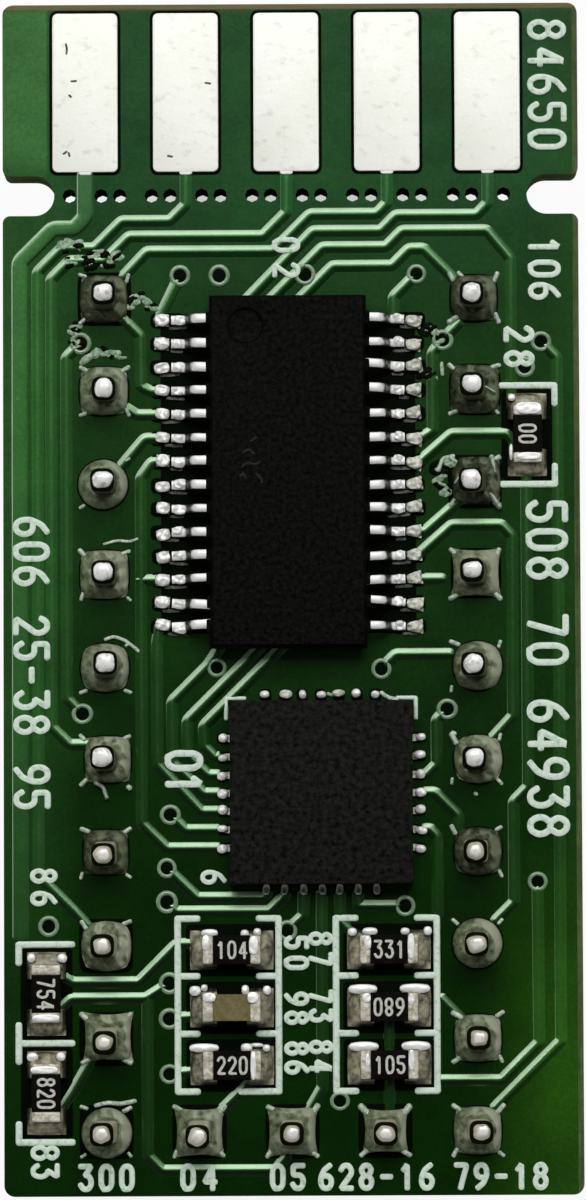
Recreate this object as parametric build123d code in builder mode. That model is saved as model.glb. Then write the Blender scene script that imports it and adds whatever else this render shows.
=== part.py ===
"""Interface converter module: a small circuit board on header pins, with a driver chip and a bridge chip.

Millimetres. The module stands on the ends of its header pins at z = 0. The board's long side lies along Y,
the edge contacts point to +Y and the populated face looks up.
"""

import os
from math import atan2, tan

from build123d import *

os.makedirs("parts", exist_ok=True)

# Circuit board
BOARD_WIDTH = 15.85
BOARD_LENGTH = 32.8
BOARD_THICKNESS = 1.6
BOARD_CORNER_RADIUS = 0.3
EDGE_BEVEL = 0.16

# Break line: a round-ended notch in each long side and a row of small holes between them
NOTCH_WIDTH = 1.1
NOTCH_DEPTH = 1.42
NOTCH_MOUTH_RADIUS = 0.2
BREAK_LINE_FROM_TOP = 5.32
BREAK_HOLE_DIAMETER = 0.38
BREAK_HOLE_SPACING = 0.51
BREAK_HOLE_SIDES = 8

# Edge contacts for the solder cups of a nine-way connector
CONTACT_PITCH = 2.77
CONTACT_COUNT = 5
CONTACT_WIDTH = 1.8
CONTACT_LENGTH = 4.4
CONTACT_INSET = 0.27
CONTACT_CORNER_CHAMFER = 0.1
CONTACT_ROW_X = -0.11

# Thin layers on the board
TRACK_THICKNESS = 0.04
LAND_THICKNESS = 0.05
LEGEND_THICKNESS = 0.03
TRACK_WIDTH = 0.2
SUPPLY_TRACK_WIDTH = 0.42
LEGEND_LINE_WIDTH = 0.19
VIA_LAND_DIAMETER = 0.58
VIA_LAND_SIDES = 8

# Pin headers
HEADER_PITCH = 2.54
COLUMN_PIN_COUNT = 10
MIDDLE_PIN_COUNT = 3
HEADER_X = -0.05
LAST_ROW_FROM_EDGE = 1.76
PIN_WIDTH = 0.64
PIN_END_CHAMFER = 0.14
PIN_BELOW_STRIP = 6.0
PIN_ABOVE_STRIP = 3.0
STRIP_HEIGHT = 2.54
STRIP_CORNER_CHAMFER = 0.42
PIN_DRILL_DIAMETER = 1.0
PIN_DRILL_SIDES = 8
PIN_LAND_WIDTH = 1.45
PIN_SOLDER_HEIGHT = 0.62
PIN_SOLDER_SLOPE = 24

# Driver chip: thin shrink outline package, 28 gull-wing leads
DRIVER_X = -0.09
DRIVER_Y = 3.39
DRIVER_LENGTH = 9.7
DRIVER_WIDTH = 4.3
DRIVER_HEIGHT = 0.9
DRIVER_STANDOFF = 0.15
DRIVER_DRAFT = 11
DRIVER_LEADS_PER_SIDE = 14
DRIVER_LEAD_PITCH = 0.65
DRIVER_LEAD_WIDTH = 0.26
DRIVER_LEAD_THICKNESS = 0.13
DRIVER_SPAN = 6.4
DRIVER_FOOT_LENGTH = 0.42
DRIVER_LEG_RUN = 0.14
DRIVER_LAND_WIDTH = 0.36
DRIVER_LAND_OVERHANG = 0.42
DIMPLE_DIAMETER = 1.0
DIMPLE_DEPTH = 0.06
DIMPLE_SIDES = 16
DIMPLE_FROM_END = 0.85
DIMPLE_FROM_SIDE = 1.0

# Bridge chip: square package without leads, 28 terminals and a thermal pad
BRIDGE_X = 0.78
BRIDGE_Y = -5.4
BRIDGE_WIDTH = 5.0
BRIDGE_HEIGHT = 0.85
BRIDGE_TERMINALS_PER_SIDE = 7
BRIDGE_TERMINAL_PITCH = 0.5
BRIDGE_TERMINAL_WIDTH = 0.24
BRIDGE_TERMINAL_LENGTH = 0.4
BRIDGE_TERMINAL_HEIGHT = 0.2
BRIDGE_THERMAL_PAD_WIDTH = 3.2
BRIDGE_LAND_OVERHANG = 0.4
BRIDGE_SOLDER_RISE = 0.16

# Chip resistors and capacitors
CHIP_LENGTH = 1.6
CHIP_WIDTH = 0.8
RESISTOR_HEIGHT = 0.45
CAPACITOR_HEIGHT = 0.8
END_CAP_LENGTH = 0.32
END_CAP_WALL = 0.04
CHIP_LAND_WIDTH = 1.1
CHIP_LAND_LENGTH = 0.75
CHIP_LANDS_OUTER_LENGTH = 2.3
CHIP_SOLDER_RISE = 0.3
CHIP_ROW_COUNT = 3
CHIP_ROW_PITCH = 1.575
CHIP_ROW_TOP_Y = -9.69
LEFT_CHIPS_X = -1.69
RIGHT_CHIPS_X = 2.61
EDGE_CHIPS_X = -6.76
EDGE_CHIP_TOP_Y = -10.87
EDGE_CHIP_PITCH = 2.7
SIDE_CHIP_X = 6.48
SIDE_CHIP_Y = 4.42

# Outlines printed round the chips
LEFT_BOX_X = -1.79
RIGHT_BOX_X = 2.54
CHIP_BOX_WIDTH = 2.76
CHIP_BOX_RISE = 0.86
CHIP_BOX_TICK = 0.54
BRACKET_REACH = 0.76
BRACKET_LENGTH = 1.46
BRACKET_RISE = 1.36
BRACKET_TICK = 0.5
CORNER_MARK_LENGTH = 0.6
CORNER_MARK_GAP = 0.12

# Capacitors on the underside, in the bay between the header strips
BACK_CAPACITOR_COUNT = 5
BACK_CAPACITOR_PITCH = 2.2
BACK_CAPACITOR_X = 0.4
BACK_CAPACITOR_TOP_Y = 6.6

# Levels and places worked out from the sizes above
BOARD_BOTTOM = PIN_BELOW_STRIP + STRIP_HEIGHT
BOARD_TOP = BOARD_BOTTOM + BOARD_THICKNESS
HALF_WIDTH = BOARD_WIDTH / 2
HALF_LENGTH = BOARD_LENGTH / 2
BREAK_LINE_Y = HALF_LENGTH - BREAK_LINE_FROM_TOP
CONTACT_END_Y = HALF_LENGTH - CONTACT_INSET
CONTACT_FOOT_Y = CONTACT_END_Y - CONTACT_LENGTH
CONTACT_MID_Y = (CONTACT_END_Y + CONTACT_FOOT_Y) / 2
LAST_ROW_Y = LAST_ROW_FROM_EDGE - HALF_LENGTH
COLUMN_SPACING = (MIDDLE_PIN_COUNT + 1) * HEADER_PITCH
DRIVER_TOE = DRIVER_SPAN / 2
DRIVER_LAND_END = DRIVER_TOE + DRIVER_LAND_OVERHANG
BRIDGE_LAND_END = BRIDGE_WIDTH / 2 + BRIDGE_LAND_OVERHANG
CHIP_LAND_MID = (CHIP_LANDS_OUTER_LENGTH - CHIP_LAND_LENGTH) / 2


def column_pins(side):
    """Places of one column's pins from the top row down; side is -1 for the left and 1 for the right."""
    x = HEADER_X + side * COLUMN_SPACING / 2
    return [(x, LAST_ROW_Y + (COLUMN_PIN_COUNT - 1 - row) * HEADER_PITCH) for row in range(COLUMN_PIN_COUNT)]


def middle_pins():
    """Places of the pins between the two columns, in the last row."""
    first_x = HEADER_X - (MIDDLE_PIN_COUNT - 1) * HEADER_PITCH / 2
    return [(first_x + place * HEADER_PITCH, LAST_ROW_Y) for place in range(MIDDLE_PIN_COUNT)]


def spread(count, pitch, middle=0.0):
    """Positions of evenly spaced things about their middle, lowest first."""
    return [middle + (place - (count - 1) / 2) * pitch for place in range(count)]


LEFT_PINS = column_pins(-1)
RIGHT_PINS = column_pins(1)
MIDDLE_PINS = middle_pins()
ALL_PINS = LEFT_PINS + RIGHT_PINS + MIDDLE_PINS
CONTACT_X = spread(CONTACT_COUNT, CONTACT_PITCH, CONTACT_ROW_X)
BACK_CONTACT_X = spread(CONTACT_COUNT - 1, CONTACT_PITCH, CONTACT_ROW_X)
LEAD_Y = spread(DRIVER_LEADS_PER_SIDE, DRIVER_LEAD_PITCH, DRIVER_Y)[::-1]
TERMINAL_OFFSETS = spread(BRIDGE_TERMINALS_PER_SIDE, BRIDGE_TERMINAL_PITCH)

# Chip places: x, y and the turn of the chip's long side from X, in degrees
CHIP_ROWS_Y = [CHIP_ROW_TOP_Y - row * CHIP_ROW_PITCH for row in range(CHIP_ROW_COUNT)]
EDGE_CHIPS_Y = [EDGE_CHIP_TOP_Y, EDGE_CHIP_TOP_Y - EDGE_CHIP_PITCH]
RESISTOR_PLACES = [
    (LEFT_CHIPS_X, CHIP_ROWS_Y[0], 0),
    (LEFT_CHIPS_X, CHIP_ROWS_Y[2], 0),
    (RIGHT_CHIPS_X, CHIP_ROWS_Y[0], 0),
    (RIGHT_CHIPS_X, CHIP_ROWS_Y[1], 0),
    (RIGHT_CHIPS_X, CHIP_ROWS_Y[2], 0),
    (EDGE_CHIPS_X, EDGE_CHIPS_Y[0], 90),
    (EDGE_CHIPS_X, EDGE_CHIPS_Y[1], 90),
    (SIDE_CHIP_X, SIDE_CHIP_Y, 90),
]
CAPACITOR_PLACE = (LEFT_CHIPS_X, CHIP_ROWS_Y[1], 0)
FRONT_CHIP_PLACES = RESISTOR_PLACES + [CAPACITOR_PLACE]
BACK_CAPACITOR_PLACES = [
    (BACK_CAPACITOR_X, BACK_CAPACITOR_TOP_Y - row * BACK_CAPACITOR_PITCH, 0)
    for row in range(BACK_CAPACITOR_COUNT)
]


def front_plane(x, y, turn=0, height=0.0):
    """Plane on the board's upper face, turned about the upright."""
    along = Vector(1, 0, 0).rotate(Axis.Z, turn)
    return Plane(origin=(x, y, BOARD_TOP + height), x_dir=along, z_dir=(0, 0, 1))


def back_plane(x, y, turn=0, height=0.0):
    """Plane on the board's underside that looks down."""
    along = Vector(1, 0, 0).rotate(Axis.Z, turn)
    return Plane(origin=(x, y, BOARD_BOTTOM - height), x_dir=along, z_dir=(0, 0, -1))


def section_plane(seat):
    """Upright plane through a seat plane's origin: x runs along the piece and y away from the board."""
    return Plane(origin=seat.origin, x_dir=seat.x_dir, z_dir=seat.y_dir * -1)


def solder_outline(inner, face, outer, rise, side=1):
    """Side view of a tinned land whose fillet climbs a face; side is -1 for the mirrored end."""
    heights = [
        (inner, 0),
        (outer, 0),
        (face, LAND_THICKNESS + rise),
        (face, LAND_THICKNESS),
        (inner, LAND_THICKNESS),
    ]
    return [(side * along, up) for along, up in heights]


# Via places on the upper face, left to right by region
CONTACT_VIAS = [(-3.05, 8.86), (-1.97, 8.86), (0.39, 8.88), (3.46, 8.88)]
DRIVER_VIAS = [(-5.79, 7.0), (4.17, 7.05), (6.87, 7.0), (6.42, 6.3), (-2.07, -1.95), (2.44, -2.0)]
BRIDGE_VIAS = [(-5.76, -3.2), (4.24, -3.11), (-3.36, -5.98), (-3.46, -7.44), (-3.46, -8.37), (3.06, -8.5)]
CHIP_VIAS = [(-6.7, -9.02), (-0.17, -9.16), (-3.4, -10.59), (-3.4, -11.56), (-3.4, -13.07), (6.69, -7.85)]
LAST_ROW_VIAS = [(1.25, -13.82)]
VIAS = CONTACT_VIAS + DRIVER_VIAS + BRIDGE_VIAS + CHIP_VIAS + LAST_ROW_VIAS

# Upright lanes in which tracks run beside the headers
LEFT_SUPPLY_LANE = -7.46
LEFT_OUTER_LANE = -6.97
LEFT_MIDDLE_LANE = -6.6
LEFT_INNER_LANE = -6.18
LEFT_CHIP_LANE = -4.14
RIGHT_CHIP_LANE = 3.95
RIGHT_INNER_LANE = 6.05
RIGHT_MIDDLE_LANE = 6.45
RIGHT_CORNER_LANE = 6.71
RIGHT_OUTER_LANE = 7.31


def contact_foot(number):
    """Lower end of an edge contact, numbered from the left."""
    return (CONTACT_X[number - 1], CONTACT_FOOT_Y + TRACK_WIDTH)


def lead_land(side, number):
    """Middle of a driver chip land; side is -1 or 1 and leads are numbered from the top."""
    return (DRIVER_X + side * DRIVER_TOE, LEAD_Y[number - 1])


def terminal_land(side, number):
    """Middle of a bridge chip land at its left or right side, numbered from the top."""
    y = BRIDGE_Y - TERMINAL_OFFSETS[number - 1]
    return (BRIDGE_X + side * BRIDGE_WIDTH / 2, y)


def foot_land(number):
    """Middle of a bridge chip land at its lower side, numbered from the left."""
    return (BRIDGE_X + TERMINAL_OFFSETS[number - 1], BRIDGE_Y - BRIDGE_WIDTH / 2)


def chip_land(place, end):
    """Middle of a chip's land; end is -1 or 1 along the chip's long side."""
    x, y, turn = place
    offset = Vector(end * CHIP_LAND_MID, 0, 0).rotate(Axis.Z, turn)
    return (x + offset.X, y + offset.Y)


def down_to(point, y):
    """The point straight above or below another one."""
    return (point[0], y)


# Tracks from the edge contacts
SUPPLY_ROUTES = [
    [contact_foot(1), (CONTACT_X[0], 10.5), (-5.95, 10.17), (-6.54, 10.17), (LEFT_SUPPLY_LANE, 9.25),
     (LEFT_SUPPLY_LANE, -9.3)],
]
CONTACT_ROUTES = [
    [contact_foot(2), down_to(contact_foot(2), 10.82), (-3.32, 10.38), (-4.65, 10.38), (-5.4, 9.63),
     (-6.31, 9.63), (LEFT_OUTER_LANE, 8.97), (LEFT_OUTER_LANE, -7.64), LEFT_PINS[7]],
    [contact_foot(3), down_to(contact_foot(3), 10.6), (-0.76, 9.95), (-4.45, 9.95), (-5.12, 9.28),
     (-6.09, 9.28), (LEFT_MIDDLE_LANE, 8.77), (LEFT_MIDDLE_LANE, -3.55), (-6.1, -4.05), (-5.6, -4.05)],
    [contact_foot(4), down_to(contact_foot(4), 10.84), (2.37, 10.55), (0.54, 10.55), (-0.48, 9.53),
     (-3.96, 9.53), (-4.6, 8.85)],
    [contact_foot(5), down_to(contact_foot(5), 10.83), (5.12, 10.51), (2.9, 10.51), (2.48, 10.08),
     (0.62, 10.08), (-1.3, 8.1), (-1.3, 7.7)],
]
CHIP_TOP_ROUTES = [
    [(-0.7, 7.7), (-0.7, 8.05), (0.88, 9.63), (2.62, 9.63), (3.07, 10.08), (5.4, 10.08),
     (RIGHT_INNER_LANE, 9.3), (RIGHT_INNER_LANE, 5.2)],
    [(0.1, 7.7), (0.1, 8.05), (1.16, 9.11), (2.79, 9.11), (3.26, 9.58), (3.66, 9.58), (4.55, 8.69)],
    [CONTACT_VIAS[0], lead_land(-1, 1)],
    [CONTACT_VIAS[3], (2.83, 8.25), (2.83, lead_land(1, 1)[1])],
]
# Tracks between the driver chip and the header columns
DRIVER_ROUTES = [
    [DRIVER_VIAS[0], (LEFT_INNER_LANE, 6.61), (LEFT_INNER_LANE, -2.78), BRIDGE_VIAS[0]],
    [(-4.6, 7.66), (LEFT_CHIP_LANE, 7.2), (LEFT_CHIP_LANE, 5.8), (-3.88, LEAD_Y[3]), lead_land(-1, 4)],
    [(-4.6, 5.24), (-4.25, LEAD_Y[4]), lead_land(-1, 5)],
    [(-4.7, 3.57), (-4.03, LEAD_Y[5]), lead_land(-1, 6)],
    [lead_land(-1, 7), (-3.84, LEAD_Y[6]), (LEFT_CHIP_LANE, 3.29), (LEFT_CHIP_LANE, -6.21),
     (-3.45, terminal_land(-1, 7)[1]), terminal_land(-1, 7)],
    [lead_land(-1, 12), (LEFT_CHIP_LANE, LEAD_Y[11])],
    [lead_land(-1, 14), (-3.71, -1.3), (-3.71, -4.6), (-2.5, terminal_land(-1, 5)[1]), terminal_land(-1, 5)],
    [DRIVER_VIAS[1], (3.89, 6.7), (3.89, 4.55), (3.6, LEAD_Y[5]), lead_land(1, 6)],
    [(4.6, 7.5), DRIVER_VIAS[1]],
    [lead_land(1, 7), (3.55, LEAD_Y[6]), (4.4, 4.46), (5.92, 4.46), (6.1, 4.25), (6.1, 3.9)],
    [lead_land(1, 10), (3.65, LEAD_Y[9]), (4.6, 2.6)],
    [lead_land(1, 11), (3.45, LEAD_Y[10]), (4.4, 1.95), (5.75, 1.95), (RIGHT_INNER_LANE, 1.65),
     (RIGHT_INNER_LANE, -3.3), (5.5, -3.9)],
    [lead_land(1, 12), (4.6, LEAD_Y[11])],
    [DRIVER_VIAS[5], (2.83, -1.6), (4.6, -1.6)],
    [DRIVER_VIAS[2], (RIGHT_OUTER_LANE, 6.56), (RIGHT_OUTER_LANE, -12.2), (5.5, -14.01)],
]
# Tracks round the bridge chip
BRIDGE_ROUTES = [
    [(-1.9, -1.25), (-2.3, -1.87), (-3.3, -2.87), (-3.3, -4.54), (-2.44, terminal_land(-1, 4)[1]),
     terminal_land(-1, 4)],
    [(-0.8, -1.31), (-2.88, -3.39), (-2.88, -4.34), (-2.32, terminal_land(-1, 3)[1]), terminal_land(-1, 3)],
    [(-0.2, -1.31), (-2.43, -3.54), (-2.43, -4.1), (-2.13, terminal_land(-1, 2)[1]), terminal_land(-1, 2)],
    [BRIDGE_VIAS[2], (-2.94, terminal_land(-1, 6)[1]), terminal_land(-1, 6)],
    [terminal_land(1, 3), (3.67, terminal_land(1, 3)[1]), (RIGHT_CHIP_LANE, -4.62), (RIGHT_CHIP_LANE, -3.4),
     BRIDGE_VIAS[1]],
    [terminal_land(1, 4), (3.9, terminal_land(1, 4)[1]), (4.53, -6.03), (4.53, -6.5)],
    [terminal_land(1, 6), (3.75, terminal_land(1, 6)[1]), (RIGHT_CHIP_LANE, -6.6), (RIGHT_CHIP_LANE, -8.72)],
    [BRIDGE_VIAS[3], (-2.62, -8.26), foot_land(1)],
    [BRIDGE_VIAS[4], (-3.2, -8.63), (-0.66, -8.63), (foot_land(2)[0], -8.2)],
    [foot_land(3), down_to(foot_land(3), -8.75), CHIP_VIAS[1]],
    [foot_land(4), down_to(foot_land(4), -13.45), (0.4, -14.1)],
    [foot_land(5), down_to(foot_land(5), -8.92), (1.6, -9.24)],
    [foot_land(6), down_to(foot_land(6), -8.5), BRIDGE_VIAS[5]],
]
# Tracks among the small chips and the last pin row
CHIP_ROUTES = [
    [(RIGHT_MIDDLE_LANE, 3.4), (RIGHT_MIDDLE_LANE, -5.25), (RIGHT_INNER_LANE, -5.65),
     (RIGHT_INNER_LANE, -8.4), (5.55, -8.9)],
    [CHIP_VIAS[5], (RIGHT_CORNER_LANE, -12.24), (5.68, -13.27), (4.04, -13.27)],
    [(4.04, -11.05), (4.6, -11.61)],
    [chip_land(RESISTOR_PLACES[5], 1), (EDGE_CHIPS_X + 0.6, -10.48), (-6.04, -10.56), (-4.24, -10.56),
     (-3.2, -9.52), (-2.7, -9.52)],
    [chip_land(RESISTOR_PLACES[5], -1), (-6.5, -11.4), (-6.1, -11.0), (-4.05, -11.0), CHIP_VIAS[2]],
    [(-4.0, -11.0), (-4.0, -15.3), (-3.6, -15.7), (-0.5, -15.7), (-0.2, -15.3)],
    [(-5.5, -12.6), (-6.02, -13.5), (-6.4, -14.1)],
    [CHIP_VIAS[3], (-2.7, -11.5)],
    [CHIP_VIAS[4], (-2.7, -13.0)],
    [(-1.1, -13.18), (-2.0, -14.08)],
    [(RIGHT_CHIPS_X, CHIP_ROWS_Y[1]), (RIGHT_CHIPS_X, -14.1)],
]
SIGNAL_ROUTES = CONTACT_ROUTES + CHIP_TOP_ROUTES + DRIVER_ROUTES + BRIDGE_ROUTES + CHIP_ROUTES

# Tracks on the underside, from the rear contacts to the capacitors
BACK_ROUTES = [
    [(BACK_CONTACT_X[0], CONTACT_FOOT_Y + TRACK_WIDTH), (BACK_CONTACT_X[0], 9.9), (-3.0, 8.65), (-3.0, -2.2)],
    [(BACK_CONTACT_X[1], CONTACT_FOOT_Y + TRACK_WIDTH), (BACK_CONTACT_X[1], 8.3), (-2.3, 7.5), (-2.3, -3.4)],
    [(BACK_CONTACT_X[2], CONTACT_FOOT_Y + TRACK_WIDTH), (BACK_CONTACT_X[2], 8.3), (2.5, 7.1), (2.5, -3.4)],
    [(BACK_CONTACT_X[3], CONTACT_FOOT_Y + TRACK_WIDTH), (BACK_CONTACT_X[3], 10.1), (3.2, 8.72), (3.2, -2.2)],
]


def print_lines():
    """Printed lines on the upper face, as pairs of end points."""
    lines = []
    box_top = CHIP_ROWS_Y[0] + CHIP_BOX_RISE
    rungs = [box_top - row * CHIP_ROW_PITCH for row in range(CHIP_ROW_COUNT + 1)]
    half_box = CHIP_BOX_WIDTH / 2
    for box_x in (LEFT_BOX_X, RIGHT_BOX_X):
        for edge in (-half_box, half_box):
            lines.append(((box_x + edge, rungs[0]), (box_x + edge, rungs[-1])))
            inward = box_x + edge * (1 - CHIP_BOX_TICK / half_box)
            for rung in rungs:
                lines.append(((box_x + edge, rung), (inward, rung)))
    half_gap = EDGE_CHIP_PITCH / 2
    edge_rungs = [EDGE_CHIPS_Y[0] + half_gap, EDGE_CHIPS_Y[0] - half_gap, EDGE_CHIPS_Y[1] - half_gap]
    edge_x = EDGE_CHIPS_X - BRACKET_REACH
    for rung in edge_rungs:
        lines.append(((edge_x, rung), (edge_x + BRACKET_LENGTH, rung)))
    for upper, lower in zip(edge_rungs, edge_rungs[1:]):
        lines.append(((edge_x, upper), (edge_x, upper - BRACKET_TICK)))
        lines.append(((edge_x, lower), (edge_x, lower + BRACKET_TICK)))
    side_x = SIDE_CHIP_X + BRACKET_REACH
    for end in (-1, 1):
        rung = SIDE_CHIP_Y + end * BRACKET_RISE
        lines.append(((side_x - BRACKET_LENGTH, rung), (side_x, rung)))
        lines.append(((side_x, rung), (side_x, rung - end * BRACKET_TICK)))
    corner = BRIDGE_WIDTH / 2 + CORNER_MARK_GAP
    for end in (-1, 1):
        x = BRIDGE_X + end * corner
        y = BRIDGE_Y + corner
        lines.append(((x, y), (x - end * CORNER_MARK_LENGTH, y)))
        lines.append(((x, y), (x, y - CORNER_MARK_LENGTH)))
    return lines


# Circuit board
with BuildPart() as circuit_board:
    with BuildSketch(Plane.XY.offset(BOARD_BOTTOM)):
        board_outline = Rectangle(BOARD_WIDTH, BOARD_LENGTH)
        fillet(board_outline.vertices(), BOARD_CORNER_RADIUS)
        with Locations(*[(side * HALF_WIDTH, BREAK_LINE_Y) for side in (-1, 1)]):
            SlotOverall(2 * NOTCH_DEPTH, NOTCH_WIDTH, mode=Mode.SUBTRACT)
    extrude(amount=BOARD_THICKNESS)
    notch_edges = circuit_board.edges().filter_by(Axis.Z).filter_by_position(
        Axis.Y, BREAK_LINE_Y - NOTCH_WIDTH, BREAK_LINE_Y + NOTCH_WIDTH
    )
    mouth_edges = [edge for edge in notch_edges if abs(edge.center().X) > HALF_WIDTH - NOTCH_MOUTH_RADIUS]
    fillet(mouth_edges, NOTCH_MOUTH_RADIUS)
    # Bevels left by the scored panel: along the contact end and down the right side, on both faces
    with BuildSketch(Plane.YZ.offset(-HALF_WIDTH)):
        for level, inward in ((BOARD_TOP, -EDGE_BEVEL), (BOARD_BOTTOM, EDGE_BEVEL)):
            with Locations((HALF_LENGTH, level)):
                Polygon((0, 0), (-EDGE_BEVEL, 0), (0, inward), align=None)
    extrude(amount=BOARD_WIDTH, mode=Mode.SUBTRACT)
    with BuildSketch(Plane.XZ.offset(-HALF_LENGTH)):
        for level, inward in ((BOARD_TOP, -EDGE_BEVEL), (BOARD_BOTTOM, EDGE_BEVEL)):
            with Locations((HALF_WIDTH, level)):
                Polygon((0, 0), (-EDGE_BEVEL, 0), (0, inward), align=None)
    extrude(amount=BOARD_LENGTH, mode=Mode.SUBTRACT)
    # Break-away holes: pairs half-way between the contacts and at them, single ones beside the notches
    pair_step = CONTACT_PITCH / 2
    pair_x = spread(2 * CONTACT_COUNT, pair_step, CONTACT_ROW_X)
    hole_x = [x + end * BREAK_HOLE_SPACING / 2 for x in pair_x for end in (-1, 1)][1:-1]
    with BuildSketch(Plane.XY.offset(BOARD_BOTTOM)):
        with Locations(*[(x, BREAK_LINE_Y) for x in hole_x]):
            RegularPolygon(BREAK_HOLE_DIAMETER / 2, BREAK_HOLE_SIDES)
        with Locations(*ALL_PINS):
            RegularPolygon(PIN_DRILL_DIAMETER / 2, PIN_DRILL_SIDES)
    extrude(amount=BOARD_THICKNESS, mode=Mode.SUBTRACT)
circuit_board.part.label = "circuit_board"
export_step(circuit_board.part, "parts/circuit_board.step")

# One edge contact's outline
with BuildSketch() as contact_outline:
    Rectangle(CONTACT_WIDTH, CONTACT_LENGTH)
    chamfer(contact_outline.vertices(), CONTACT_CORNER_CHAMFER)

# Lands: the plan of everything tinned on the upper face, by which tracks and print are trimmed
with BuildSketch(Plane.XY.offset(BOARD_TOP)) as front_lands:
    with Locations(*ALL_PINS):
        Rectangle(PIN_LAND_WIDTH, PIN_LAND_WIDTH)
    with Locations(*[(x, CONTACT_MID_Y) for x in CONTACT_X]):
        add(contact_outline.sketch)
    lead_land_inner = DRIVER_TOE - DRIVER_FOOT_LENGTH
    for side in (-1, 1):
        land_mid = DRIVER_X + side * (lead_land_inner + DRIVER_LAND_END) / 2
        with Locations(*[(land_mid, y) for y in LEAD_Y]):
            Rectangle(DRIVER_LAND_END - lead_land_inner, DRIVER_LAND_WIDTH)
        terminal_mid = (BRIDGE_WIDTH / 2 - BRIDGE_TERMINAL_LENGTH + BRIDGE_LAND_END) / 2
        land_length = BRIDGE_LAND_OVERHANG + BRIDGE_TERMINAL_LENGTH
        with Locations(*[(BRIDGE_X + side * terminal_mid, BRIDGE_Y + offset) for offset in TERMINAL_OFFSETS]):
            Rectangle(land_length, BRIDGE_TERMINAL_WIDTH)
        with Locations(*[(BRIDGE_X + offset, BRIDGE_Y + side * terminal_mid) for offset in TERMINAL_OFFSETS]):
            Rectangle(BRIDGE_TERMINAL_WIDTH, land_length)
    for place in FRONT_CHIP_PLACES:
        for end in (-1, 1):
            with Locations(Location((*chip_land(place, end), 0), (0, 0, place[2]))):
                Rectangle(CHIP_LAND_LENGTH, CHIP_LAND_WIDTH)

with BuildSketch(Plane.XY.offset(BOARD_TOP)) as via_outlines:
    with Locations(*VIAS):
        RegularPolygon(VIA_LAND_DIAMETER / 2, VIA_LAND_SIDES, major_radius=False)
    add(front_lands.sketch, mode=Mode.SUBTRACT)

with BuildSketch(Plane.XY.offset(BOARD_TOP)) as track_outlines:
    for routes, width in ((SUPPLY_ROUTES, SUPPLY_TRACK_WIDTH), (SIGNAL_ROUTES, TRACK_WIDTH)):
        for route in routes:
            with BuildLine():
                Polyline(*route)
            trace(line_width=width)
    add(front_lands.sketch, mode=Mode.SUBTRACT)
    add(via_outlines.sketch, mode=Mode.SUBTRACT)

with BuildPart() as via_lands:
    add(via_outlines.sketch)
    extrude(amount=LAND_THICKNESS)
via_lands.part.label = "via_lands"
export_step(via_lands.part, "parts/via_lands.step")

with BuildPart() as front_tracks:
    add(track_outlines.sketch)
    extrude(amount=TRACK_THICKNESS)
front_tracks.part.label = "front_tracks"
export_step(front_tracks.part, "parts/front_tracks.step")

# Printed outlines, broken where a track or a land passes
with BuildPart() as legend_print:
    with BuildSketch(Plane.XY.offset(BOARD_TOP)):
        for start, end in print_lines():
            middle = ((start[0] + end[0]) / 2, (start[1] + end[1]) / 2)
            across = abs(end[0] - start[0]) + LEGEND_LINE_WIDTH
            along = abs(end[1] - start[1]) + LEGEND_LINE_WIDTH
            with Locations(middle):
                Rectangle(across, along)
        add(front_lands.sketch, mode=Mode.SUBTRACT)
        add(via_outlines.sketch, mode=Mode.SUBTRACT)
        add(track_outlines.sketch, mode=Mode.SUBTRACT)
    extrude(amount=LEGEND_THICKNESS)
legend_print.part.label = "legend_print"
export_step(legend_print.part, "parts/legend_print.step")

# Edge contacts: five on the upper face and four on the underside, between them
for number, x in enumerate(CONTACT_X, start=1):
    with BuildPart() as contact_pad:
        with BuildSketch(front_plane(x, CONTACT_MID_Y)):
            add(contact_outline.sketch)
        extrude(amount=LAND_THICKNESS)
    contact_pad.part.label = f"contact_pad_{number}"
    export_step(contact_pad.part, f"parts/contact_pad_{number}.step")

for number, x in enumerate(BACK_CONTACT_X, start=CONTACT_COUNT + 1):
    with BuildPart() as back_contact_pad:
        with BuildSketch(back_plane(x, CONTACT_MID_Y)):
            add(contact_outline.sketch)
        extrude(amount=LAND_THICKNESS)
    back_contact_pad.part.label = f"back_contact_pad_{number}"
    export_step(back_contact_pad.part, f"parts/back_contact_pad_{number}.step")

# Tracks on the underside
with BuildPart() as back_tracks:
    with BuildSketch(Plane.XY.offset(BOARD_BOTTOM)):
        for route in BACK_ROUTES:
            with BuildLine():
                Polyline(*route)
            trace(line_width=TRACK_WIDTH)
        with Locations(*[(x, CONTACT_MID_Y) for x in BACK_CONTACT_X]):
            add(contact_outline.sketch, mode=Mode.SUBTRACT)
    extrude(amount=-TRACK_THICKNESS)
back_tracks.part.label = "back_tracks"
export_step(back_tracks.part, "parts/back_tracks.step")

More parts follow.
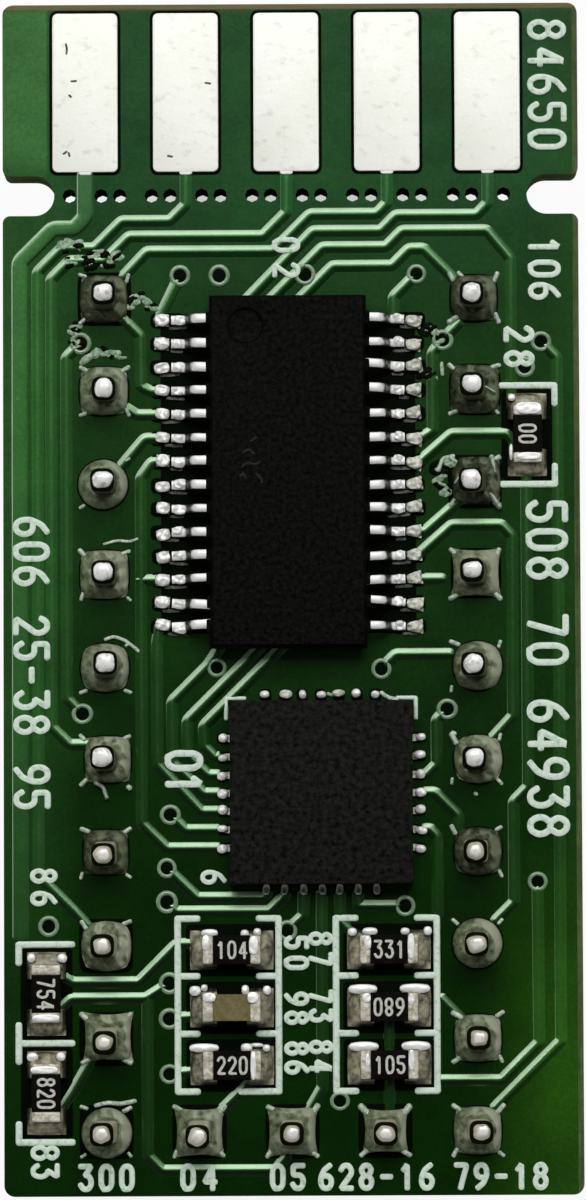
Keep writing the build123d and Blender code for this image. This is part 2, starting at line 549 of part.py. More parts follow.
# Driver chip body: two drafted halves that meet at a narrow upright band, where the leads leave
LEAD_LEVEL = BOARD_TOP + DRIVER_STANDOFF + DRIVER_HEIGHT / 2
HALF_SHELL = (DRIVER_HEIGHT - DRIVER_LEAD_THICKNESS) / 2
with BuildPart() as driver_chip_body:
    for facing in (1, -1):
        parting_plane = Plane(origin=(DRIVER_X, DRIVER_Y, LEAD_LEVEL), x_dir=(1, 0, 0), z_dir=(0, 0, facing))
        with BuildSketch(parting_plane):
            Rectangle(DRIVER_WIDTH, DRIVER_LENGTH)
        extrude(amount=DRIVER_LEAD_THICKNESS / 2)
        with BuildSketch(parting_plane.offset(DRIVER_LEAD_THICKNESS / 2)):
            Rectangle(DRIVER_WIDTH, DRIVER_LENGTH)
        extrude(amount=HALF_SHELL, taper=DRIVER_DRAFT)
    dimple_x = DRIVER_X - DRIVER_WIDTH / 2 + DIMPLE_FROM_SIDE
    dimple_y = DRIVER_Y + DRIVER_LENGTH / 2 - DIMPLE_FROM_END
    with BuildSketch(front_plane(dimple_x, dimple_y, height=DRIVER_STANDOFF + DRIVER_HEIGHT)):
        RegularPolygon(DIMPLE_DIAMETER / 2, DIMPLE_SIDES)
    extrude(amount=-DIMPLE_DEPTH, mode=Mode.SUBTRACT)
driver_chip_body.part.label = "driver_chip_body"
export_step(driver_chip_body.part, "parts/driver_chip_body.step")


def lead_outline():
    """Side view of a gull-wing lead: shoulder out of the body, sloping leg and foot."""
    shoulder_top = DRIVER_STANDOFF + DRIVER_HEIGHT / 2 + DRIVER_LEAD_THICKNESS / 2
    foot_top = LAND_THICKNESS + DRIVER_LEAD_THICKNESS
    bend_out = DRIVER_TOE - DRIVER_FOOT_LENGTH
    bend_in = bend_out - DRIVER_LEG_RUN
    slope = atan2(shoulder_top - foot_top, DRIVER_LEG_RUN)
    mitre = DRIVER_LEAD_THICKNESS * tan(slope / 2)
    body_face = DRIVER_WIDTH / 2
    return [
        (body_face, shoulder_top),
        (bend_in, shoulder_top),
        (bend_out, foot_top),
        (DRIVER_TOE, foot_top),
        (DRIVER_TOE, LAND_THICKNESS),
        (bend_out - mitre, LAND_THICKNESS),
        (bend_in - mitre, shoulder_top - DRIVER_LEAD_THICKNESS),
        (body_face, shoulder_top - DRIVER_LEAD_THICKNESS),
    ]


for side, side_name in ((-1, "left"), (1, "right")):
    with BuildPart() as driver_chip_leads:
        for y in LEAD_Y:
            with BuildSketch(section_plane(front_plane(DRIVER_X, y))):
                Polygon(*[(side * out, up) for out, up in lead_outline()], align=None)
        extrude(amount=DRIVER_LEAD_WIDTH / 2, both=True)
    driver_chip_leads.part.label = f"driver_chip_{side_name}_leads"
    export_step(driver_chip_leads.part, f"parts/driver_chip_{side_name}_leads.step")

with BuildPart() as driver_chip_solder:
    for y in LEAD_Y:
        with BuildSketch(section_plane(front_plane(DRIVER_X, y))):
            for side in (-1, 1):
                outline = solder_outline(
                    lead_land_inner, DRIVER_TOE, DRIVER_LAND_END, DRIVER_LEAD_THICKNESS, side
                )
                Polygon(*outline, align=None)
    extrude(amount=DRIVER_LAND_WIDTH / 2, both=True)
driver_chip_solder.part.label = "driver_chip_solder"
export_step(driver_chip_solder.part, "parts/driver_chip_solder.step")

# Bridge chip terminals: flush with the body's sides and underside
with BuildPart() as bridge_chip_terminals:
    with BuildSketch(front_plane(BRIDGE_X, BRIDGE_Y, height=LAND_THICKNESS)):
        inset = (BRIDGE_WIDTH - BRIDGE_TERMINAL_LENGTH) / 2
        for side in (-1, 1):
            with Locations(*[(side * inset, offset) for offset in TERMINAL_OFFSETS]):
                Rectangle(BRIDGE_TERMINAL_LENGTH, BRIDGE_TERMINAL_WIDTH)
            with Locations(*[(offset, side * inset) for offset in TERMINAL_OFFSETS]):
                Rectangle(BRIDGE_TERMINAL_WIDTH, BRIDGE_TERMINAL_LENGTH)
    extrude(amount=BRIDGE_TERMINAL_HEIGHT)
bridge_chip_terminals.part.label = "bridge_chip_terminals"
export_step(bridge_chip_terminals.part, "parts/bridge_chip_terminals.step")

with BuildPart() as bridge_chip_thermal_pad:
    with BuildSketch(front_plane(BRIDGE_X, BRIDGE_Y, height=LAND_THICKNESS)):
        Rectangle(BRIDGE_THERMAL_PAD_WIDTH, BRIDGE_THERMAL_PAD_WIDTH)
    extrude(amount=BRIDGE_TERMINAL_HEIGHT)
bridge_chip_thermal_pad.part.label = "bridge_chip_thermal_pad"
export_step(bridge_chip_thermal_pad.part, "parts/bridge_chip_thermal_pad.step")

with BuildPart() as bridge_chip_body:
    with BuildSketch(front_plane(BRIDGE_X, BRIDGE_Y, height=LAND_THICKNESS)):
        Rectangle(BRIDGE_WIDTH, BRIDGE_WIDTH)
    extrude(amount=BRIDGE_HEIGHT)
    add(bridge_chip_terminals.part, mode=Mode.SUBTRACT)
    add(bridge_chip_thermal_pad.part, mode=Mode.SUBTRACT)
bridge_chip_body.part.label = "bridge_chip_body"
export_step(bridge_chip_body.part, "parts/bridge_chip_body.step")

with BuildPart() as bridge_chip_solder:
    land_inner = BRIDGE_WIDTH / 2 - BRIDGE_TERMINAL_LENGTH
    outline = solder_outline(land_inner, BRIDGE_WIDTH / 2, BRIDGE_LAND_END, BRIDGE_SOLDER_RISE)
    for turn in (0, 90, 180, 270):
        for offset in TERMINAL_OFFSETS:
            shift = Vector(0, offset, 0).rotate(Axis.Z, turn)
            seat = front_plane(BRIDGE_X + shift.X, BRIDGE_Y + shift.Y, turn)
            with BuildSketch(section_plane(seat)):
                Polygon(*outline, align=None)
    extrude(amount=BRIDGE_TERMINAL_WIDTH / 2, both=True)
    with BuildSketch(front_plane(BRIDGE_X, BRIDGE_Y)):
        Rectangle(BRIDGE_THERMAL_PAD_WIDTH, BRIDGE_THERMAL_PAD_WIDTH)
    extrude(amount=LAND_THICKNESS)
bridge_chip_solder.part.label = "bridge_chip_solder"
export_step(bridge_chip_solder.part, "parts/bridge_chip_solder.step")


def chip_core_size(height):
    """Length, width and height of a chip's ceramic inside the walls of its end caps."""
    return (CHIP_LENGTH - 2 * END_CAP_WALL, CHIP_WIDTH - 2 * END_CAP_WALL, height - 2 * END_CAP_WALL)


# Chip resistors and the capacitor: a ceramic core, and an end cap that wraps each end on five sides
FRONT_CHIPS = [(f"resistor_{number}", place, RESISTOR_HEIGHT) for number, place in enumerate(RESISTOR_PLACES, 1)]
FRONT_CHIPS.append(("capacitor_1", CAPACITOR_PLACE, CAPACITOR_HEIGHT))
for chip_name, (x, y, turn), height in FRONT_CHIPS:
    core_length, core_width, core_height = chip_core_size(height)
    with BuildPart() as chip_core:
        with BuildSketch(front_plane(x, y, turn, LAND_THICKNESS + END_CAP_WALL)):
            Rectangle(core_length, core_width)
        extrude(amount=core_height)
    chip_core.part.label = chip_name
    export_step(chip_core.part, f"parts/{chip_name}.step")

    with BuildPart() as chip_end_caps:
        with BuildSketch(front_plane(x, y, turn, LAND_THICKNESS)):
            with Locations(*[(end * (CHIP_LENGTH - END_CAP_LENGTH) / 2, 0) for end in (-1, 1)]):
                Rectangle(END_CAP_LENGTH, CHIP_WIDTH)
        extrude(amount=height)
        add(chip_core.part, mode=Mode.SUBTRACT)
    chip_end_caps.part.label = f"{chip_name}_end_caps"
    export_step(chip_end_caps.part, f"parts/{chip_name}_end_caps.step")

CHIP_LAND_INNER = CHIP_LANDS_OUTER_LENGTH / 2 - CHIP_LAND_LENGTH
CHIP_LAND_OUTER = CHIP_LANDS_OUTER_LENGTH / 2
with BuildPart() as front_chip_solder:
    for x, y, turn in FRONT_CHIP_PLACES:
        with BuildSketch(section_plane(front_plane(x, y, turn))):
            for end in (-1, 1):
                outline = solder_outline(CHIP_LAND_INNER, CHIP_LENGTH / 2, CHIP_LAND_OUTER, CHIP_SOLDER_RISE, end)
                Polygon(*outline, align=None)
    extrude(amount=CHIP_LAND_WIDTH / 2, both=True)
front_chip_solder.part.label = "front_chip_solder"
export_step(front_chip_solder.part, "parts/front_chip_solder.step")

# Charge-pump and supply capacitors on the underside
for number, (x, y, turn) in enumerate(BACK_CAPACITOR_PLACES, start=1):
    core_length, core_width, core_height = chip_core_size(CAPACITOR_HEIGHT)
    with BuildPart() as back_capacitor:
        with BuildSketch(back_plane(x, y, turn, LAND_THICKNESS + END_CAP_WALL)):
            Rectangle(core_length, core_width)
        extrude(amount=core_height)
    back_capacitor.part.label = f"back_capacitor_{number}"
    export_step(back_capacitor.part, f"parts/back_capacitor_{number}.step")

with BuildPart() as back_capacitor_end_caps:
    for x, y, turn in BACK_CAPACITOR_PLACES:
        for end in (-1, 1):
            with BuildSketch(back_plane(x, y, turn, LAND_THICKNESS)):
                with Locations((end * (CHIP_LENGTH - END_CAP_LENGTH) / 2, 0)):
                    Rectangle(END_CAP_LENGTH, CHIP_WIDTH)
    extrude(amount=CAPACITOR_HEIGHT)
    for x, y, turn in BACK_CAPACITOR_PLACES:
        with BuildSketch(back_plane(x, y, turn, LAND_THICKNESS + END_CAP_WALL)):
            Rectangle(core_length, core_width)
    extrude(amount=core_height, mode=Mode.SUBTRACT)
back_capacitor_end_caps.part.label = "back_capacitor_end_caps"
export_step(back_capacitor_end_caps.part, "parts/back_capacitor_end_caps.step")

with BuildPart() as back_chip_solder:
    for x, y, turn in BACK_CAPACITOR_PLACES:
        with BuildSketch(section_plane(back_plane(x, y, turn))):
            for end in (-1, 1):
                outline = solder_outline(CHIP_LAND_INNER, CHIP_LENGTH / 2, CHIP_LAND_OUTER, CHIP_SOLDER_RISE, end)
                Polygon(*outline, align=None)
    extrude(amount=CHIP_LAND_WIDTH / 2, both=True)
back_chip_solder.part.label = "back_chip_solder"
export_step(back_chip_solder.part, "parts/back_chip_solder.step")

# Header strips, pins and solder joints: two columns and the short strip between them
for strip_name, pins in (("left", LEFT_PINS), ("right", RIGHT_PINS), ("middle", MIDDLE_PINS)):
    with BuildPart() as header_strip:
        with BuildSketch(Plane.XY.offset(PIN_BELOW_STRIP)):
            for pin in pins:
                with BuildSketch(mode=Mode.PRIVATE) as strip_cell:
                    Rectangle(HEADER_PITCH, HEADER_PITCH)
                    chamfer(strip_cell.vertices(), STRIP_CORNER_CHAMFER)
                with Locations(pin):
                    add(strip_cell.sketch)
            with Locations(*pins):
                Rectangle(PIN_WIDTH, PIN_WIDTH, mode=Mode.SUBTRACT)
        extrude(amount=STRIP_HEIGHT)
    header_strip.part.label = f"{strip_name}_header_strip"
    export_step(header_strip.part, f"parts/{strip_name}_header_strip.step")

    with BuildPart() as header_pins:
        with BuildSketch():
            with Locations(*pins):
                Rectangle(PIN_WIDTH, PIN_WIDTH)
        extrude(amount=PIN_BELOW_STRIP + STRIP_HEIGHT + PIN_ABOVE_STRIP)
        end_faces = header_pins.faces().filter_by(Axis.Z)
        chamfer(end_faces.edges(), PIN_END_CHAMFER)
    header_pins.part.label = f"{strip_name}_header_pins"
    export_step(header_pins.part, f"parts/{strip_name}_header_pins.step")

    with BuildPart() as pin_solder:
        with BuildSketch(Plane.XY.offset(BOARD_TOP)):
            with Locations(*pins):
                Rectangle(PIN_LAND_WIDTH, PIN_LAND_WIDTH)
        extrude(amount=LAND_THICKNESS)
        with BuildSketch(Plane.XY.offset(BOARD_TOP + LAND_THICKNESS)):
            with Locations(*pins):
                Rectangle(PIN_LAND_WIDTH, PIN_LAND_WIDTH)
        extrude(amount=PIN_SOLDER_HEIGHT, taper=PIN_SOLDER_SLOPE)
        with BuildSketch(Plane.XY.offset(BOARD_TOP)):
            with Locations(*pins):
                Rectangle(PIN_WIDTH, PIN_WIDTH)
        extrude(amount=LAND_THICKNESS + PIN_SOLDER_HEIGHT, mode=Mode.SUBTRACT)
    pin_solder.part.label = f"{strip_name}_pin_solder"
    export_step(pin_solder.part, f"parts/{strip_name}_pin_solder.step")
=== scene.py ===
"""Looks of the interface converter module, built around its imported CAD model.

Lengths are in millimetres until a piece is finished, when its mesh is scaled to metres.
"""
from math import cos, exp, hypot, pi, radians, sin, sqrt
import random

import bmesh
import bpy
from mathutils import Matrix, Vector, noise


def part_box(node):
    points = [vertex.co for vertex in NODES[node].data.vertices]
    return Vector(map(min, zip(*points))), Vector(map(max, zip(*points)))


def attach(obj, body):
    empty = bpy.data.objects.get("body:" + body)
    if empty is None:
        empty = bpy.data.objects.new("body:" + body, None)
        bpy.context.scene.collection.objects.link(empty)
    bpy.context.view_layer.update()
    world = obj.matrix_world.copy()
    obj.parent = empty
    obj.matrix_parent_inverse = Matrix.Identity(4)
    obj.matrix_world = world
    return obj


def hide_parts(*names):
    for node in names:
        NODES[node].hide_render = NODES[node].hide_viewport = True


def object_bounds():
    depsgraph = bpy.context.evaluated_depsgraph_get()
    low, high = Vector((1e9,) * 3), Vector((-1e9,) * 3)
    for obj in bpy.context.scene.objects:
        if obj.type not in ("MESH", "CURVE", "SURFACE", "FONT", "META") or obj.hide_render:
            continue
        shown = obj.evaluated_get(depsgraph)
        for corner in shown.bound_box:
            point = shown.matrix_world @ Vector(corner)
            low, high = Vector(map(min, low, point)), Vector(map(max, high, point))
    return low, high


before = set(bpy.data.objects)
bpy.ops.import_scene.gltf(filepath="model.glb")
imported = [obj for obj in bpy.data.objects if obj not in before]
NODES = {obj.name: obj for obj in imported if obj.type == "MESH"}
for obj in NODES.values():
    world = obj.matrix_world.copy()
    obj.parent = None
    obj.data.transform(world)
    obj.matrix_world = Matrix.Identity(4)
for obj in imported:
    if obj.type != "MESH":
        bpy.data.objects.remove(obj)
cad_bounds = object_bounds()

MM = 0.001

# The photograph's viewpoint, from a fit of the pin pitches: pixels, degrees and millimetres
PHOTO_HEIGHT_PX = 1200
PX_PER_MM = 36.434
CAMERA_DISTANCE = 200.0
CAMERA_TILT = (-3.598, -0.312, 0.243)
PRINCIPAL_OFFSET_PX = (-0.95, -3.56)
SENSOR = 36.0


def cad_box(node):
    """The lowest and highest corner of a CAD node."""
    low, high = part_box(node)
    return low / MM, high / MM


BOTTOM, TOP = (corner.z for corner in cad_box("circuit_board"))


def islands(node):
    """Boxes of a CAD node's separate solids, from the board's top end down and then from the left."""
    bm = bmesh.new()
    bm.from_mesh(NODES[node].data)
    bmesh.ops.remove_doubles(bm, verts=bm.verts, dist=1e-6)
    left = set(bm.verts)
    boxes = []
    while left:
        stack = [left.pop()]
        members = []
        while stack:
            vert = stack.pop()
            members.append(vert.co / MM)
            for edge in vert.link_edges:
                other = edge.other_vert(vert)
                if other in left:
                    left.remove(other)
                    stack.append(other)
        low = Vector([min(c[i] for c in members) for i in range(3)])
        high = Vector([max(c[i] for c in members) for i in range(3)])
        boxes.append((low, high))
    bm.free()
    return sorted(boxes, key=lambda b: (-round((b[0].y + b[1].y) / 2, 1), b[0].x))


# ---- Materials


class Nodes:
    """Short hand for the node tree of a material or of the world."""

    def __init__(self, owner):
        self.owner = owner
        owner.use_nodes = True
        self.tree = owner.node_tree
        self.shader = self.tree.nodes.get("Principled BSDF")
        self.place = self.add("TexCoord").outputs["Object"]

    def put(self, socket, value):
        if isinstance(value, bpy.types.NodeSocket):
            self.tree.links.new(value, socket)
        elif isinstance(value, tuple) and len(value) == 3:
            socket.default_value = (*value, 1.0)
        else:
            socket.default_value = value

    def add(self, kind, settings=(), **inputs):
        """A new node; each input is named and takes a value or another node's output."""
        node = self.tree.nodes.new("ShaderNode" + kind)
        for key, value in settings:
            setattr(node, key, value)
        for key, value in inputs.items():
            self.put(node.inputs[key.replace("_", " ")], value)
        return node

    def shade(self, colour, rough, specular, metal=0.0):
        """Fills the shader's inputs and gives back the material."""
        self.put(self.shader.inputs["Base Color"], colour)
        self.put(self.shader.inputs["Roughness"], rough)
        self.put(self.shader.inputs["Specular IOR Level"], specular)
        self.put(self.shader.inputs["Metallic"], metal)
        return self.owner

    def math(self, operation, *values):
        node = self.add("Math", [("operation", operation)])
        for socket, value in zip(node.inputs, values):
            self.put(socket, value)
        return node.outputs[0]

    def times(self, first, second):
        return self.math("MULTIPLY", first, second)

    def axes(self, vector):
        return self.add("SeparateXYZ", Vector=vector).outputs

    def noise(self, size, detail=3.0, roughness=0.55, stretch=(1, 1, 1)):
        """Noise whose grain is about size millimetres across."""
        scale = [s / (size * MM) for s in stretch]
        spot = self.add("Mapping", Vector=self.place, Scale=scale).outputs["Vector"]
        node = self.add("TexNoise", Vector=spot, Scale=1.0, Detail=detail, Roughness=roughness)
        return node.outputs["Fac"]

    def ramp(self, source, *stops):
        """Colours, or greys given as one number, at positions from 0 to 1."""
        node = self.add("ValToRGB", Fac=source)
        elements = node.color_ramp.elements
        while len(elements) < len(stops):
            elements.new(0.5)
        for element, (position, colour) in zip(elements, stops):
            element.position = position
            element.color = (*(colour if isinstance(colour, tuple) else (colour,) * 3), 1.0)
        return node.outputs["Color"]

    def mix(self, factor, first, second, blend="MIX"):
        settings = [("data_type", "RGBA"), ("blend_type", blend)]
        return self.add("Mix", settings, Factor=factor, A=first, B=second).outputs["Result"]

    def multiply(self, first, second):
        return self.mix(1.0, first, second, "MULTIPLY")

    def spread(self, source, low, high):
        """Takes 0 to 1 to low to high."""
        return self.add("MapRange", Value=source, To_Min=low, To_Max=high).outputs["Result"]

    def uneven(self, size, low, high):
        """Low to high by noise of about size millimetres."""
        return self.spread(self.noise(size), low, high)

    def span(self, source, start, stop):
        """Zero at start to one at stop, eased."""
        settings = [("interpolation_type", "SMOOTHSTEP")]
        return self.add("MapRange", settings, Value=source, From_Min=start, From_Max=stop).outputs["Result"]

    def bump(self, source, depth, strength):
        """Raises the surface by depth millimetres over the source's range."""
        node = self.add("Bump", Strength=strength, Distance=depth * MM, Height=source)
        last = self.shader.inputs["Normal"]
        if last.is_linked:
            self.put(node.inputs["Normal"], last.links[0].from_socket)
        self.put(last, node.outputs["Normal"])

    def upright(self, normal="Normal"):
        """One where the surface lies flat and zero where it stands."""
        return self.math("ABSOLUTE", self.axes(self.add("NewGeometry").outputs[normal])["Z"])

    def paint_steep_shade(self, colour, dark, low, high, patches=0.0):
        """Paints shade where the surface is steep; low and high are the upward part of its normal."""
        upward = self.upright()
        if patches:
            stray = self.math("SUBTRACT", self.noise(0.14, 3, 0.6), 0.5)
            upward = self.math("ADD", upward, self.times(stray, patches))
        return self.mix(self.span(upward, low, high), dark, colour)

    def facing(self, x, y, start, stop):
        """How far the surface leans towards a direction in the board's plane."""
        normal = self.add("NewGeometry").outputs["Normal"]
        product = self.add("VectorMath", [("operation", "DOT_PRODUCT")], Vector=normal)
        product.inputs[1].default_value = (x, y, 0)
        return self.span(product.outputs["Value"], start, stop)


def new_material(name):
    return Nodes(bpy.data.materials.new(name))


def srgb(*parts):
    """A colour of a picture, 0 to 255, as the linear value that a shader takes."""
    return tuple(((c / 255 + 0.055) / 1.055) ** 2.4 if c > 10 else c / 255 / 12.92 for c in parts)


# Partly painted light: the mask is paler towards the top and the left and deeper towards the bottom
# Tints of the solder mask: where each begins and is full along x and along y, its share and its colour
MASK_TINTS = [
    (None, (6, 12.5), 1.0, (30, 78, 36)),
    ((-5.4, -7.5), (-18, 4), 0.85, (39, 86, 35)),
    ((6.9, 7.8), None, 0.5, (34, 74, 24)),
    ((4.5, 7.5), (-5, -13), 0.9, (38, 83, 14)),
    ((-6.65, -6.75), (11.4, 12.4), 1.0, (60, 114, 56)),
    (None, (16.12, 16.3), 0.75, (86, 72, 44)),
]
MASK_DEEP, MASK_WARM = (6, 40, 0), (21, 61, 16)


def mask_colours(nodes, lift=1.0):
    """Solder mask: greener and paler towards the contacts and the left edge, deeper elsewhere; partly
    painted light and shade.
    """
    axes = nodes.axes(nodes.place)

    def shade(colour):
        return srgb(*(part * lift for part in colour))

    def reach(axis, limits):
        return nodes.span(axes[axis], limits[0] * MM, limits[1] * MM)

    ground = nodes.mix(reach("Y", (-11, 9)), shade(MASK_DEEP), shade(MASK_WARM))
    for across, along, share, colour in MASK_TINTS:
        amount = share
        for axis, limits in (("X", across), ("Y", along)):
            if limits:
                amount = nodes.times(reach(axis, limits), amount)
        ground = nodes.mix(amount, ground, shade(colour))
    blotch = nodes.ramp(nodes.noise(1.8, 4, 0.6), (0.3, 0.78), (0.7, 1.2))
    fine = nodes.ramp(nodes.noise(0.09, 3, 0.7), (0.25, 0.76), (0.75, 1.22))
    return nodes.multiply(nodes.multiply(ground, blotch), fine)


# The break-away holes: the middle line of their row and the half sizes of the painted shade on their walls
BREAK_LINE_Y = 11.08
BREAK_SHADE_HALF = (6.3, 0.5)


def make_mask():
    """Solder mask on the board's faces and bare laminate on its edges."""
    nodes = new_material("solder_mask_on_laminate")
    mask = mask_colours(nodes)
    laminate = nodes.mix(nodes.noise(0.25, 4, 0.7), srgb(54, 70, 38), srgb(108, 122, 82))
    weave = nodes.ramp(nodes.noise(0.2, 2, 0.5, (0.1, 0.1, 1.6)), (0.35, 0.7), (0.65, 1.1))
    laminate = nodes.multiply(laminate, weave)
    axes = nodes.axes(nodes.place)
    at_end = nodes.span(axes["Y"], 16.1 * MM, 16.35 * MM)
    laminate = nodes.mix(nodes.times(at_end, 0.7), laminate, srgb(112, 98, 76))
    off_line = nodes.math("ABSOLUTE", nodes.math("SUBTRACT", axes["Y"], BREAK_LINE_Y * MM))
    in_line = nodes.math("LESS_THAN", off_line, BREAK_SHADE_HALF[1] * MM)
    inside = nodes.math("LESS_THAN", nodes.math("ABSOLUTE", axes["X"]), BREAK_SHADE_HALF[0] * MM)
    # Painted shade on the laminate walls of the break-away holes
    laminate = nodes.mix(nodes.times(in_line, inside), laminate, srgb(34, 62, 34))
    is_mask = nodes.math("GREATER_THAN", nodes.upright("True Normal"), 0.9)
    gloss = nodes.math("MULTIPLY_ADD", nodes.noise(0.5, 3), 0.06, 0.14)
    nodes.bump(nodes.noise(0.35, 4, 0.6), 0.01, 0.4)
    rough = nodes.mix(is_mask, (0.85, 0.85, 0.85), gloss)
    return nodes.shade(nodes.mix(is_mask, laminate, mask), rough, nodes.times(is_mask, 0.45))


def make_track():
    """Masked copper: painted shade on the side away from the light and a painted highlight on the side
    facing it.
    """
    nodes = new_material("masked_copper_track")
    ground = mask_colours(nodes, 1.22)
    # Painted shade on the slopes facing away from the light
    deep = nodes.multiply(ground, (0.18, 0.25, 0.16))
    ground = nodes.mix(nodes.facing(0, 1, -0.06, -0.22), ground, deep)
    # Painted highlight on the slopes facing the light
    pale = nodes.mix(nodes.noise(0.9, 3, 0.6), srgb(150, 182, 146), srgb(220, 238, 216))
    painted_glint = nodes.times(nodes.facing(-0.4, 0.9, 0.17, 0.27), 0.88)
    nodes.bump(nodes.noise(0.12, 3, 0.6), 0.004, 0.4)
    nodes.put(nodes.shader.inputs["Specular Tint"], (0.6, 1.0, 0.58))
    return nodes.shade(nodes.mix(painted_glint, ground, pale), nodes.uneven(0.4, 0.2, 0.3), 1.0)


def make_via_ring():
    nodes = new_material("masked_via_ring")
    # Pale from the copper under the mask, and paler still all round the ring: painted highlight
    tint = nodes.mix(nodes.noise(0.3, 3, 0.6), srgb(56, 96, 52), srgb(160, 190, 156))
    nodes.bump(nodes.noise(0.1), 0.006, 0.4)
    return nodes.shade(tint, nodes.uneven(0.2, 0.2, 0.32), 1.0)


def make_dark(name, first, second):
    nodes = new_material(name)
    tone = nodes.mix(nodes.noise(0.1), srgb(*first), srgb(*second))
    return nodes.shade(tone, 0.5, 0.02)


def make_ink():
    nodes = new_material("legend_ink")
    worn = nodes.ramp(nodes.noise(0.16, 4, 0.65), (0.3, srgb(176, 206, 180)), (0.5, srgb(226, 242, 226)))
    nodes.bump(nodes.noise(0.08), 0.006, 0.5)
    return nodes.shade(worn, 0.6, 0.3)


def make_contact():
    """Tin levelled by hot air, with flecks and fine scratches."""
    nodes = new_material("levelled_tin")
    grain = nodes.noise(0.09, 4, 0.7)
    scratch = nodes.noise(0.38, 3, 0.6, (1, 1.5, 1))
    tone = nodes.mix(nodes.noise(1.4, 3, 0.5), srgb(238, 240, 228), srgb(254, 255, 248))
    tone = nodes.multiply(tone, nodes.ramp(scratch, (0.57, 1.0), (0.7, 0.86)))
    flecks = nodes.ramp(nodes.noise(0.05, 2, 0.6), (0.22, 0.75), (0.32, 1.0))
    nodes.bump(grain, 0.008, 0.5)
    nodes.bump(scratch, 0.006, 0.3)
    tone = nodes.mix(0.7, tone, nodes.multiply(tone, flecks))
    return nodes.shade(tone, nodes.spread(grain, 0.42, 0.62), 0.6, 0.35)


# Tone of the painted shade on the steep faces of solder and tin
PAINTED_STEEP_SHADE = srgb(20, 24, 14)


def make_solder(name, first, second, rough, lumps, metal, steep, size, lit=None, sheen=0.3):
    """Solder in two tones with painted shade where it is steep; lit is a painted highlight on the side of
    the light.
    """
    nodes = new_material(name)
    tone = nodes.ramp(nodes.noise(size, 4, 0.65), (0.32, srgb(*first)), (0.68, srgb(*second)))
    # Painted highlight on the slopes that lean towards the light
    if lit:
        tone = nodes.mix(nodes.facing(0.85, 0.35, 0.08, 0.4), tone, srgb(*lit))
    nodes.bump(nodes.noise(0.3, 3, 0.6), lumps, 0.6)
    nodes.bump(nodes.noise(0.06, 3, 0.6), 0.005, 0.5)
    return nodes.shade(nodes.paint_steep_shade(tone, PAINTED_STEEP_SHADE, *steep), nodes.uneven(0.22, *rough), sheen, metal)


def make_pin(name, first, second, steep, sides):
    """Bright tin with painted shade on its steep sides, in the sides tone above the board."""
    nodes = new_material(name)
    above = nodes.span(nodes.axes(nodes.place)["Z"], (TOP - 0.1) * MM, (TOP + 0.3) * MM)
    plain = nodes.mix(nodes.noise(0.5, 3, 0.6, (1, 1, 0.3)), srgb(168, 168, 160), srgb(216, 216, 208))
    tone = nodes.ramp(nodes.noise(0.2, 4, 0.65), (0.3, srgb(*first)), (0.5, srgb(*second)))
    nodes.bump(nodes.noise(0.3, 3, 0.6), 0.012, 0.6)
    tone = nodes.paint_steep_shade(tone, nodes.mix(above, plain, srgb(*sides)), *steep)
    return nodes.shade(tone, nodes.uneven(0.22, 0.26, 0.42), 0.6, 0.15)


def make_mould(name, first, second, rough, grain, depth, specular=0.25, rim=None):
    """Speckled plastic, ceramic or ink; rim is a painted shade on the rounded edges."""
    nodes = new_material(name)
    speck = nodes.noise(grain, 4, 0.7)
    tone = nodes.ramp(speck, (0.34, srgb(*first)), (0.66, srgb(*second)))
    if rim:
        tone = nodes.paint_steep_shade(tone, srgb(*rim), 0.8, 0.98)
    nodes.bump(speck, depth, 0.7)
    return nodes.shade(tone, nodes.uneven(0.3, *rough), specular)


MASK = make_mask()
TRACK = make_track()
VIA = make_via_ring()
# Near-black rims in the mask's openings round lands and under the lead rows: painted shade
PAINTED_GAP_SHADE = make_dark("mask_opening_shade", (1, 5, 0), (5, 14, 3))
# The vias' drillings: dark discs, painted shade in the holes
PAINTED_HOLE_SHADE = make_dark("via_drilling", (2, 8, 2), (8, 20, 7))
# Burnt flux for the crumbs, and painted shade for the rings round the pins' tips
FLUX_AND_TIP_SHADE = make_dark("burnt_flux_and_tip_shade", (5, 8, 2), (18, 22, 10))
INK = make_ink()
CONTACT = make_contact()
# Name, two tones, roughness, lumps, metal, steepness, grain and lit tone
SOLDER = make_solder("joint_solder", (50, 63, 38), (134, 144, 112), (0.4, 0.56), 0.02, 0.15,
                     (0.12, 0.62, 0.3), 0.2, (156, 162, 138))
DULL = make_solder("dull_joint_solder", (14, 24, 8), (84, 92, 64), (0.4, 0.6), 0.03, 0.15,
                   (0.2, 0.8, 0.5), 0.13, (104, 112, 86))
# Near-white solder: the tin's own brightness together with painted highlight
BRIGHT = make_solder("lead_solder", (244, 244, 238), (255, 255, 253), (0.42, 0.58), 0.006, 0.3,
                     (0.25, 0.5, 0.25), 0.12, sheen=0.7)
TOE = make_solder("toe_solder", (168, 170, 150), (246, 247, 238), (0.3, 0.45), 0.012, 0.0,
                  (0.28, 0.62, 0.4), 0.13)
STREAK = make_solder("solder_streak", (34, 38, 28), (104, 108, 96), (0.4, 0.55), 0.01, 0.0,
                     (0.3, 0.8, 0.5), 0.1)
